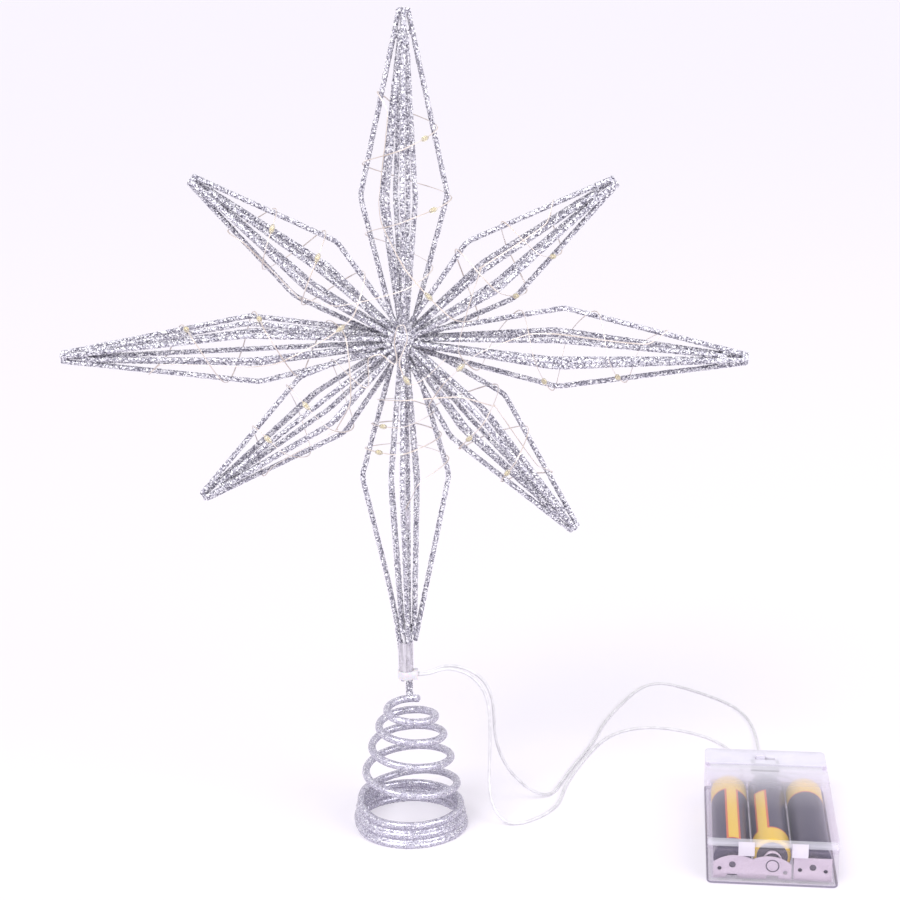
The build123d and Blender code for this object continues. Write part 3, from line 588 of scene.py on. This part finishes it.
# moulded ABS with a fine spark-eroded skin: matt, in grey and in a pale shade
absLook = {
    "sockets": {"Roughness": 0.45},
    "patch": 0.25,
    "detail": 2.0,
    "raised": 0.03,  # mm
    "strength": 0.5,
}
switchMaterial = mottled("greyAbs", {**absLook, "stops": ((0.35, "#4a474f"), (0.65, "#5a5760"))})
knobMaterial = mottled("paleAbs", {**absLook, "stops": ((0.35, "#c9c5d2"), (0.65, "#d8d4e0"))})
print("materials made")

# star: each arm is a cage of eight wires, corner wires at its even places and side wires at its odd ones.
# half is a cage's radius at its bend and ring at its tip, in mm. sideShare draws the side wires in. bends
# moves the bends of the two outer wires along and across the arm, and lean all others across it
arms = {
    "arm_bottom": {
        "angle": 270.0, "roll": 0.0, "length": 89.5, "half": 12.4, "bend": 40.3, "ring": 1.9,
        "sideShare": 0.45, "lean": 0.0, "bends": {0: (-1.1, 0.2), 4: (-1.0, 0.0)},
    },
    "arm_lower_right": {
        "angle": 311.0, "roll": -14.0, "length": 73.7, "half": 10.0, "bend": 30.0, "ring": 1.273,
        "sideShare": 0.52, "lean": 0.0, "bends": {0: (0.9, 1.4), 4: (-0.9, 2.0)},
    },
    "arm_right": {
        "angle": 356.4, "roll": 8.0, "length": 96.7, "half": 10.8, "bend": 42.4, "ring": 1.273,
        "sideShare": 0.5, "lean": 0.0, "bends": {0: (2.0, 1.7), 4: (1.4, -0.8)},
    },
    "arm_upper_right": {
        "angle": 396.8, "roll": 16.0, "length": 73.7, "half": 10.0, "bend": 30.0, "ring": 1.273,
        "sideShare": 0.47, "lean": -0.4, "bends": {0: (1.1, 2.0), 4: (1.1, 0.0)},
    },
    "arm_top": {
        "angle": 449.0, "roll": 8.0, "length": 91.0, "half": 12.4, "bend": 40.3, "ring": 1.273,
        "sideShare": 0.42, "lean": 1.2, "bends": {0: (-0.3, -0.6), 4: (0.0, -0.3)},
    },
    "arm_upper_left": {
        "angle": 501.7, "roll": -12.0, "length": 73.7, "half": 10.0, "bend": 30.0, "ring": 1.273,
        "sideShare": 0.4, "lean": 0.5, "bends": {0: (1.2, -0.6), 4: (1.4, -2.0)},
    },
    "arm_left": {
        "angle": 542.5, "roll": 22.0, "length": 96.7, "half": 10.8, "bend": 42.4, "ring": 1.273,
        "sideShare": 0.68, "lean": -1.2, "bends": {0: (-2.0, -0.8), 4: (0.3, 2.0)},
    },
    "arm_lower_left": {
        "angle": 578.0, "roll": -20.0, "length": 73.7, "half": 10.0, "bend": 30.0, "ring": 1.273,
        "sideShare": 0.45, "lean": 1.0, "bends": {0: (0.6, 2.0), 4: (-1.4, -0.4)},
    },
}
starPlace = {"hub": Vector((0, 5.7, 145.2))}
coat = {"flake": 0.32, "stand": 0.1, "coilFlake": 0.45, "coilStand": 0.02}


def copyOfNode(nodeName, pieceName):
    piece = nodes[nodeName].copy()
    piece.data = piece.data.copy()
    piece.parent = None
    for key in list(piece.keys()):
        del piece[key]
    piece.name = pieceName
    piece.data.name = pieceName
    scene.collection.objects.link(piece)
    pick(piece)
    bpy.ops.mesh.customdata_custom_splitnormals_clear()
    bpy.ops.object.mode_set(mode="EDIT")
    bpy.ops.mesh.select_all(action="SELECT")
    bpy.ops.mesh.remove_doubles(threshold=1e-6)
    bpy.ops.object.mode_set(mode="OBJECT")
    return piece


# a coat of flakes that stand at all angles
def coatWithFlakes(piece, flake, stand, seed, material):
    pick(piece)
    remesh = piece.modifiers.new("flakes", "REMESH")
    remesh.mode = "VOXEL"
    remesh.voxel_size = flake * mm
    bpy.ops.object.modifier_apply(modifier=remesh.name)
    bpy.ops.object.mode_set(mode="EDIT")
    bpy.ops.mesh.select_all(action="SELECT")
    bpy.ops.transform.vertex_random(offset=stand * mm, uniform=0.2, normal=0.6, seed=seed)
    bpy.ops.mesh.quads_convert_to_tris()
    bpy.ops.object.mode_set(mode="OBJECT")
    bpy.ops.object.shade_flat()
    dress(piece, material)
    print(piece.name, len(piece.data.polygons), "flakes")


def startCurve(name, resolution):
    curve = bpy.data.curves.new(name, "CURVE")
    curve.dimensions = "3D"
    curve.resolution_u = resolution
    piece = bpy.data.objects.new(name, curve)
    scene.collection.objects.link(piece)
    return piece


# a smooth line with the points, in metres, as its control points
def addLine(piece, points):
    spline = piece.data.splines.new("NURBS")
    spline.points.add(len(points) - 1)
    for knot, point in zip(spline.points, points):
        knot.co = (*point, 1)
    spline.order_u = 3
    spline.use_endpoint_u = True


# lines become round wires
def fillOut(piece, diameter, roundness):
    piece.data.bevel_depth = diameter / 2 * mm
    piece.data.bevel_resolution = roundness
    piece.data.use_fill_caps = True
    pick(piece)
    bpy.ops.object.convert(target="MESH")
    bpy.ops.object.shade_smooth()
    return bpy.context.object


# cage wires: hand bent, so no two run quite alike
wires = {
    "count": 8,
    "diameter": 1.5,
    "roundness": 2,
    "resolution": 12,
    "rootAt": 3.0,  # mm from the hub, where the cage starts
    "rootRing": 2.3,
    "gather": 1.7,  # mm from the tip, where the cage closes
    "bendReach": 3.5,
    "wander": 0.55,
    "tipShare": 0.85,
    "tipMeet": 6.0,  # mm from the tip, where a side wire meets the corner wires
    "stemMeet": 2.5,
    "stemRing": 2.4,
    "tail": 4,  # the bottom arm's wire that runs on beside the stem
    "tailEnd": 102.2,
}


def armAxes(arm):
    a = math.radians(arm["angle"])
    return Vector((math.cos(a), 0, math.sin(a))), Vector((-math.sin(a), 0, math.cos(a)))


# point of a cage: distance from the hub, distance from the arm's axis, angle round it
def cagePoint(arm, out, radius, phi):
    p = math.radians(phi)
    along, across = armAxes(arm)
    toFront = Vector((0, -radius * math.sin(p), 0))
    return starPlace["hub"] + along * out + across * (radius * math.cos(p)) + toFront


def cageRadius(arm, out):
    inner = wires["rootAt"]
    outer = arm["length"] - wires["gather"]
    if out <= inner:
        return wires["rootRing"]
    if out >= outer:
        return arm["ring"]
    if out < arm["bend"]:
        return wires["rootRing"] + (arm["half"] - wires["rootRing"]) * (out - inner) / (arm["bend"] - inner)
    return arm["half"] + (arm["ring"] - arm["half"]) * (out - arm["bend"]) / (outer - arm["bend"])


# how much of a wire's drift at its bend is left at a distance from the hub
def driftShare(arm, out):
    inner = wires["rootAt"]
    outer = arm["length"] - wires["gather"]
    return max(0.0, min((out - inner) / (arm["bend"] - inner), (outer - out) / (outer - arm["bend"])))


# one wire's control points: it is straight apart from its bend, the second station
def wireLine(arm, phi, stations, drift):
    points = [cagePoint(arm, out, radius, phi) for out, radius in stations]
    bend = points[1] + drift
    before = bend + (points[0] - bend).normalized() * wires["bendReach"]
    after = bend + (points[2] - bend).normalized() * wires["bendReach"]
    points[1:2] = [before, bend, after]
    return [point * mm for point in points]


for seed, (nodeName, arm) in enumerate(arms.items()):
    chance = random.Random(seed + 7)
    toStem = nodeName == "arm_bottom"
    along, across = armAxes(arm)
    arm["drifts"] = []
    piece = startCurve(nodeName + "_glitter", wires["resolution"])
    for k in range(wires["count"]):
        sideWire = k % 2 == 1
        share = arm["sideShare"] if sideWire else 1.0
        drift = Vector([chance.uniform(-1, 1) * wires["wander"] * (2 - share) for axis in range(3)])
        ahead, aside = arm["bends"].get(k, (0.0, arm["lean"]))
        drift += along * ahead + across * aside
        arm["drifts"].append(drift)
        stations = [(wires["rootAt"], wires["rootRing"] * share), (arm["bend"], arm["half"] * share)]
        if sideWire and toStem:
            stations.append((arm["length"] - wires["stemMeet"], wires["stemRing"]))
        elif sideWire:
            meet = arm["length"] - wires["tipMeet"]
            stations.append((meet, arm["sideShare"] * cageRadius(arm, meet)))
        elif toStem and k == wires["tail"]:
            stations += [(arm["length"] - wires["gather"], arm["ring"]), (wires["tailEnd"], arm["ring"])]
        else:
            stations.append((arm["length"], arm["ring"] * (1.0 if toStem else wires["tipShare"])))
        addLine(piece, wireLine(arm, arm["roll"] + 360 / wires["count"] * k, stations, drift))
    piece = fillOut(piece, wires["diameter"], wires["roundness"])
    coatWithFlakes(piece, coat["flake"], coat["stand"], seed + 1, glitterMaterial)
    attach(piece, "star")
    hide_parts(nodeName)

stemPiece = copyOfNode("stem_post", "stem_glitter")
coatWithFlakes(stemPiece, coat["flake"], coat["stand"], 30, glitterMaterial)
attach(stemPiece, "star")
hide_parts("stem_post")

# hub: the wires are lumped together in the middle
hubCluster = {"lump": (4.2, 2.7, 4.2), "uneven": 0.35}
bpy.ops.object.select_all(action="DESELECT")
bpy.ops.mesh.primitive_ico_sphere_add(subdivisions=3, radius=1.0)
hubPiece = bpy.context.object
hubPiece.scale = Vector(hubCluster["lump"]) * mm
hubPiece.location = starPlace["hub"] * mm
bpy.ops.object.transform_apply(location=True, rotation=True, scale=True)
bpy.ops.object.mode_set(mode="EDIT")
bpy.ops.mesh.select_all(action="SELECT")
bpy.ops.transform.vertex_random(offset=hubCluster["uneven"] * mm, uniform=0.3, normal=0.8, seed=5)
bpy.ops.object.mode_set(mode="OBJECT")
hubPiece.name = "hub_cluster"
hubPiece.data.name = "hub_cluster"
coatWithFlakes(hubPiece, coat["flake"], coat["stand"], 40, glitterMaterial)
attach(hubPiece, "star")
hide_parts("hub_core")
print("star coated")

# coil: a thicker wire in a smoother coat
coilPiece = copyOfNode("coil_base", "coil_glitter")
coatWithFlakes(coilPiece, coat["coilFlake"], coat["coilStand"], 60, coilMaterial)
bpy.ops.object.shade_smooth()
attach(coilPiece, "base")
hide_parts("coil_base")
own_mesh(coilPiece)
print("coil coated")

# light string: a twin copper wire, out over one side of each arm and back in loops round it
string = {
    "lift": 1.35,
    "bow": 0.35,
    "entry": (-0.3, 5.7, 95.5),
    "entryTurn": 68,  # degrees round the bottom arm, from where the string comes out of it
    "entryPast": 4,
    "entryShare": 0.45,
    "riseShort": 1,
    "riseShare": 0.86,
    "startAt": 21.0,
    "firstShare": 0.25,
    "firstPast": 2,
    "endAt": 15.5,
    "outShare": 0.70,
    "turnReach": 5.0,
    "quarters": 11,
    "dropQuarters": (3, 7),
    "strand": 0.1,
    "strandSides": 8,
    "twist": 0.55,
    "slack": 0.2,
    "resolution": 8,
    "knot": (
        (-9.5, -6.0, -4.0), (-6.0, -6.3, -2.7), (-1.9, -6.6, -5.4), (-2.2, -6.8, 0.5), (-1.3, -6.9, 5.0),
        (0.6, -7.0, 5.6), (1.4, -7.0, 1.5), (-0.9, -7.3, -4.8), (0.2, -7.6, -8.4), (2.2, -7.9, -11.0),
        (6.5, -7.8, -9.0), (12.0, -7.6, -3.8),
    ),
    "knotDrop": 4,  # the knot's LED follows this point from its end
}
route = [Vector(string["entry"])]
dropSpots = []
for n, arm in enumerate(arms.values()):
    roll = arm["roll"]
    if n == 0:
        turnAt = arm["bend"] - string["turnReach"]
        side = roll + string["entryTurn"]
        out = arm["bend"] + string["entryPast"]
        route.append(cagePoint(arm, out, string["entryShare"] * cageRadius(arm, out), side))
        out = arm["bend"] - string["riseShort"]
        route.append(cagePoint(arm, out, string["riseShare"] * arm["half"], side))
    else:
        startAt = string["startAt"]
        radius = cageRadius(arm, startAt) + string["lift"] + string["bow"]
        route.append(cagePoint(arm, startAt, radius, roll + 90))
        if n % 2 == 0:
            dropSpots.append(len(route) - 2)
        turnFrom = string["outShare"] * arm["length"]
        first = string["firstShare"] * turnFrom + (1 - string["firstShare"]) * startAt + string["firstPast"]
        for out in (first, arm["bend"], turnFrom):
            flat = cageRadius(arm, out) / math.sqrt(2)  # of the cage, halfway between its corner wires
            route.append(cagePoint(arm, out, flat + string["lift"] + string["bow"], roll + 45))
        turnAt = turnFrom + string["turnReach"]
    turn = cagePoint(arm, turnAt, cageRadius(arm, turnAt) + string["lift"], roll)
    route.append(turn + arm["drifts"][0] * driftShare(arm, turnAt))
    for k in range(1, string["quarters"] + 1):
        out = turnAt + (string["endAt"] - turnAt) * k / string["quarters"]
        bow = string["bow"] if k == string["quarters"] else 0.0
        corner = cagePoint(arm, out, cageRadius(arm, out) + string["lift"] + bow, roll - 90 * k)
        wire = -2 * k % wires["count"]  # the corner wire that it goes over
        route.append(corner + arm["drifts"][wire] * driftShare(arm, out))
        if k in string["dropQuarters"]:
            dropSpots.append(len(route) - 2)
route += [starPlace["hub"] + Vector(p) for p in string["knot"]]
dropSpots.append(len(route) - string["knotDrop"])


# a wire through points in mm: the more slack, the rounder it runs between them
def smoothCurve(name, points, slack, resolution):
    piece = startCurve(name, resolution)
    spline = piece.data.splines.new("BEZIER")
    spline.bezier_points.add(len(points) - 1)
    for k, knot in enumerate(spline.bezier_points):
        before, after = points[max(k - 1, 0)], points[min(k + 1, len(points) - 1)]
        heading = (after - before).normalized()
        knot.handle_left_type = "FREE"
        knot.handle_right_type = "FREE"
        knot.co = points[k] * mm
        knot.handle_left = (points[k] - heading * (points[k] - before).length * slack) * mm
        knot.handle_right = (points[k] + heading * (after - points[k]).length * slack) * mm
    return piece


profile = bpy.data.curves.new("twinProfile", "CURVE")
profile.dimensions = "2D"
for side in (-1, 1):
    ring = profile.splines.new("NURBS")
    ring.points.add(string["strandSides"] - 1)
    for k, point in enumerate(ring.points):
        a = math.radians(360 / string["strandSides"] * k)
        point.co = ((side + math.cos(a)) * string["strand"] * mm, math.sin(a) * string["strand"] * mm, 0, 1)
    ring.use_cyclic_u = True
    ring.order_u = 3
profile.resolution_u = 1
profileObject = bpy.data.objects.new("twinProfile", profile)
scene.collection.objects.link(profileObject)
stringPiece = smoothCurve("string_twin_wire", route, string["slack"], string["resolution"])
for k, knot in enumerate(stringPiece.data.splines[0].bezier_points):
    knot.tilt = string["twist"] * k
middles = []
for k in dropSpots:
    near, far = stringPiece.data.splines[0].bezier_points[k:k + 2]
    middle = (near.co + near.handle_right * 3 + far.handle_left * 3 + far.co) / 8  # halfway along the curve
    middles.append((middle, far.co - near.co + far.handle_left - near.handle_right))
stringPiece.data.bevel_mode = "OBJECT"
stringPiece.data.bevel_object = profileObject
stringPiece.data.use_fill_caps = True
pick(stringPiece)
bpy.ops.object.convert(target="MESH")
stringPiece = bpy.context.object
bpy.data.objects.remove(profileObject)
bpy.ops.object.shade_smooth()
dress(stringPiece, copperMaterial)
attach(stringPiece, "star")
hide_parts("fairy_wire")
print("string wound:", len(stringPiece.data.polygons), "faces")

# LED drops: a pear-shaped resin bead over each chip on the string
drop = {"radius": 0.85, "length": 3.0, "pinch": 0.82, "chip": (0.7, 0.5, 1.1), "chipEdge": 0.15}
beads, chips = [], []
for middle, heading in middles:
    turn = heading.to_track_quat("Z", "Y").to_euler()
    bpy.ops.object.select_all(action="DESELECT")
    bpy.ops.mesh.primitive_uv_sphere_add(segments=20, ring_count=14, radius=1.0)
    bead = bpy.context.object
    for vertex in bead.data.vertices:
        swell = drop["pinch"] + (1 - drop["pinch"]) * (1 - vertex.co.z) / 2
        vertex.co = Vector((vertex.co.x * swell, vertex.co.y * swell, vertex.co.z))
    bead.scale = Vector((drop["radius"], drop["radius"], drop["length"] / 2)) * mm
    bead.rotation_euler = turn
    bead.location = middle
    bpy.ops.object.transform_apply(location=True, rotation=True, scale=True)
    bpy.ops.object.shade_smooth()
    beads.append(bead)
    bpy.ops.object.select_all(action="DESELECT")
    bpy.ops.mesh.primitive_cube_add(size=1.0)
    chip = bpy.context.object
    chip.scale = Vector(drop["chip"]) * mm
    chip.rotation_euler = turn
    chip.location = middle
    bpy.ops.object.transform_apply(location=True, rotation=True, scale=True)
    edge = chip.modifiers.new("edges", "BEVEL")
    edge.width = drop["chipEdge"] * mm
    edge.segments = 2
    bpy.ops.object.modifier_apply(modifier=edge.name)
    chips.append(chip)
for name, group, material in (("led_beads", beads, resinMaterial), ("led_chips", chips, chipMaterial)):
    pick(*group)
    bpy.ops.object.join()
    piece = bpy.context.object
    piece.name = name
    piece.data.name = name
    dress(piece, material)
    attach(piece, "star")
    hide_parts("led_drops")
print("drops cast:", len(beads))

# free leads: clear PVC wires from the collar over the floor to the box
leads = {
    "lead_wire_a": {
        "length": 278.6,
        "route": (
            (1.55, 6.35, 45.2), (5.35, 6.35, 45.2), (10.2, 6.7, 47.5), (15.0, 6.9, 47.0), (19.6, 7.1, 44.8),
            (22.9, 7.3, 41.0), (24.5, 7.5, 36.0), (24.8, 7.8, 30.6), (25.0, 8.3, 24.6), (26.4, 9.2, 18.6),
            (28.8, 10.6, 13.0), (32.0, 12.6, 8.0), (35.6, 14.8, 3.9), (39.4, 16.6, 1.3), (42.4, 19.2, 0.5),
            (44.2, 23.4, 0.5), (46.4, 30.0, 0.5), (50.2, 40.6, 0.5), (54.3, 50.6, 0.5), (57.9, 60.8, 0.5),
            (60.4, 70.6, 0.5), (64.2, 81.0, 0.5), (69.2, 92.0, 0.5), (74.0, 101.6, 0.5), (79.0, 107.8, 0.5),
            (85.4, 108.6, 0.5), (93.0, 102.6, 0.5), (100.8, 95.0, 0.5), (107.0, 86.4, 0.5),
            (110.0, 75.4, 0.5), (110.4, 63.6, 0.5), (109.6, 52.4, 0.8), (108.9, 42.2, 2.6),
            (108.2, 34.0, 5.6),
        ),
        "inBox": ((0, 67.0, 8.05), (0, 56.05, 8.05)),
    },
    "lead_wire_b": {
        "length": 225.7,
        "route": (
            (1.55, 5.05, 45.2), (5.35, 5.05, 45.2), (10.2, 5.2, 47.2), (15.0, 5.4, 46.4), (19.2, 5.5, 43.8),
            (22.1, 5.6, 39.8), (23.3, 5.6, 34.8), (23.6, 5.4, 29.2), (23.6, 5.0, 23.2), (23.4, 4.2, 17.2),
            (23.2, 2.8, 11.6), (23.8, 0.8, 6.8), (25.8, -1.0, 3.0), (29.0, -2.0, 0.9), (33.0, -1.0, 0.5),
            (37.4, 2.2, 0.5), (41.4, 6.8, 0.5), (44.2, 12.6, 0.5), (45.6, 19.4, 0.5), (47.4, 27.6, 0.5),
            (51.2, 38.8, 0.5), (55.4, 49.2, 0.5), (59.6, 58.6, 0.5), (65.0, 65.6, 0.5), (72.2, 69.6, 0.5),
            (79.6, 69.8, 0.5), (86.6, 67.2, 0.5), (93.0, 63.0, 0.5), (98.0, 57.0, 0.5), (100.8, 49.6, 0.8),
            (101.1, 41.8, 2.2), (101.0, 34.6, 4.7),
        ),
        "inBox": ((-7.0, 67.0, 8.05), (-7.0, 55.2, 8.05)),
    },
}
leadSize = {"diameter": 0.9, "roundness": 3, "resolution": 8}


# a wire's line: a smooth spline with the route's points as its control points
def layLine(name, points):
    piece = startCurve(name, leadSize["resolution"])
    addLine(piece, points)
    bpy.context.view_layer.update()
    return piece


def sheathe(piece, diameter):
    piece = fillOut(piece, diameter, leadSize["roundness"])
    dress(piece, pvcMaterial)
    return piece


for name, lead in leads.items():
    points = [Vector(p) * mm for p in lead["route"]] + [boxPoint(*p) for p in lead["inBox"]]
    piece = layLine(name + "_tube", points)
    line = bpy.data.meshes.new_from_object(piece)
    bpy.data.meshes.remove(line)
    piece = sheathe(piece, leadSize["diameter"])
    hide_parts(name)
    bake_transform(piece)

# wires that stay inside: two risers up the bottom arm, and one along the box's wall to the switch
riser = {
    "aside": 1.228,  # from the stem, where they lie against it in the sleeve
    "inSleeve": 3,  # the first heights
    "beside": 0.55,
    "x": -0.3,
    "heights": (45.4, 57.0, 60.4, 63.4, 67.0, 90.0),
}
risers = []
for side in (-1, 1):
    points = []
    for k, z in enumerate(riser["heights"]):
        sleeved = k < riser["inSleeve"]
        x, y = (-riser["aside"], riser["aside"]) if sleeved else (riser["x"], riser["beside"])
        points.append(Vector((x, starPlace["hub"].y + side * y, z)) * mm)
    risers.append(sheathe(layLine("lead_risers_tube", points), leadSize["diameter"]))
pick(*risers)
bpy.ops.object.join()
riserPiece = bpy.context.object
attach(riserPiece, "star")
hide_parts("lead_risers")
returnWire = {
    "diameter": 0.8,
    "route": (
        (16.3, 1.5, 1.7), (16.3, 45.0, 1.7), (16.3, 53.2, 1.7), (13.7, 55.75, 3.3), (7.0, 55.75, 8.05),
        (2.8, 55.75, 8.05),
    ),
}
returnLine = layLine("return_wire_tube", [boxPoint(*p) for p in returnWire["route"]])
returnPiece = sheathe(returnLine, returnWire["diameter"])
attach(returnPiece, "base")
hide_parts("return_wire")
print("leads laid")

# contact springs: conical wire coils on the negative ends, each from its plate towards the cell
spring = {
    "wire": 0.45,
    "base": 2.6,
    "tip": 1.8,
    "turns": 3,
    "stepsPerTurn": 8,
    "length": 3.2,
    "clear": 0.05,
    "axisZ": 6.65,
    "slack": 0.35,
    "roundness": 2,
    "resolution": 6,
    "places": ((-11.0, 49.2, -1), (0.0, 1.5, 1), (11.0, 49.2, -1)),
}
springPieces = []
for x, plateY, toward in spring["places"]:
    points = []
    steps = spring["stepsPerTurn"] * spring["turns"]
    travel = spring["length"] - spring["wire"] - 2 * spring["clear"]
    for k in range(steps + 1):
        share = k / steps
        radius = spring["base"] + (spring["tip"] - spring["base"]) * share
        depth = spring["wire"] / 2 + spring["clear"] + travel * share
        a = math.radians(360 / spring["stepsPerTurn"] * k)
        aside = x + radius * math.cos(a)
        above = spring["axisZ"] + radius * math.sin(a)
        points.append(boxPoint(aside, plateY + toward * depth, above) / mm)
    line = smoothCurve("contact_coil", points, spring["slack"], spring["resolution"])
    springPieces.append(fillOut(line, spring["wire"], spring["roundness"]))
pick(*springPieces)
bpy.ops.object.join()
springPiece = bpy.context.object
springPiece.name = "contact_coils"
springPiece.data.name = "contact_coils"
dress(springPiece, nickelMaterial)
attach(springPiece, "base")
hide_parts("contact_springs")

# moulded and pressed pieces: the solids with their edges eased, and plates a hair off the wall they touch
easing = {"flat": math.radians(1), "sharp": math.radians(40), "smooth": math.radians(35), "segments": 2}
plate = {"body": "base", "width": 0.05, "material": nickelMaterial, "slot": "nickel_plate"}
eased = {
    "box_case": {"body": "base", "width": 0.2, "material": caseMaterial, "slot": "clear_plastic"},
    "box_lid": {"body": "lid", "width": 0.2, "material": lidMaterial, "slot": "clear_plastic"},
    "compartment_cover": {"body": "base", "width": 0.25, "material": coverMaterial, "slot": "clear_plastic"},
    "lead_collar": {"body": "star", "width": 0.25, "material": nylonMaterial, "slot": "white_nylon"},
    "switch_knob": {"body": "knob", "width": 0.1, "material": knobMaterial, "slot": "knob_plastic"},
    "front_link_plate": {**plate, "offWall": 0.04},
    "front_single_plate": {**plate, "offWall": 0.04},
    "rear_link_plate": {**plate, "offWall": -0.04},
    "rear_single_plate": {**plate, "offWall": -0.04},
}
backward = (boxPoint(0, 1, 0) - boxPoint(0, 0, 0)).normalized()
for name, look in eased.items():
    piece = copyOfNode(name, name + "_eased")
    bpy.ops.object.mode_set(mode="EDIT")
    bpy.ops.mesh.select_all(action="SELECT")
    bpy.ops.mesh.dissolve_limited(angle_limit=easing["flat"])
    bpy.ops.transform.translate(value=backward * look.get("offWall", 0.0) * mm)
    bpy.ops.object.mode_set(mode="OBJECT")
    edge = piece.modifiers.new("eased", "BEVEL")
    edge.width = look["width"] * mm
    edge.segments = easing["segments"]
    edge.limit_method = "ANGLE"
    edge.angle_limit = easing["sharp"]
    bpy.ops.object.modifier_apply(modifier=edge.name)
    bpy.ops.object.shade_smooth_by_angle(angle=easing["smooth"])
    dress(piece, look["material"])
    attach(piece, look["body"])
    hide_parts(name)

# snap tabs: the faces in front of the lid's edge are whiter, frosted and with a painted highlight for their
# glints
tabs = {"before": -0.05}  # mm along the box
lidPiece = scene.objects["box_lid_eased"]
lidPiece.data.materials.append(tabMaterial)
for face in lidPiece.data.polygons:
    if (face.center - boxPoint(0, 0, 0)).dot(backward) < tabs["before"] * mm:
        face.material_index = 1

# ring pressed into the link plate: its floor takes the darker cap steel, a painted shade in the groove
pressedRing = {"from": 1.3, "to": 1.45, "facing": -0.9}  # mm along the box
linkPiece = scene.objects["front_link_plate_eased"]
linkPiece.data.materials.append(capMaterial)
for face in linkPiece.data.polygons:
    depth = (face.center - boxPoint(0, 0, 0)).dot(backward) / mm
    facesFront = face.normal.dot(backward) < pressedRing["facing"]
    if pressedRing["from"] < depth < pressedRing["to"] and facesFront:
        face.material_index = 1

# the other solids keep their shape and get their finish
finishes = {
    "shrink_sleeve": tubeMaterial,
    "splice_sleeve": tubeMaterial,
    "cell_left": leftFilm,
    "cell_middle": middleFilm,
    "cell_right": rightFilm,
    # the cells' ends and discs in the darker steel: painted shade
    "cell_caps": capMaterial,
    "cell_discs": capMaterial,
    "switch_pins": nickelMaterial,
    "switch_body": switchMaterial,
}
for name, material in finishes.items():
    dress(nodes[name], material)
print("box finished")
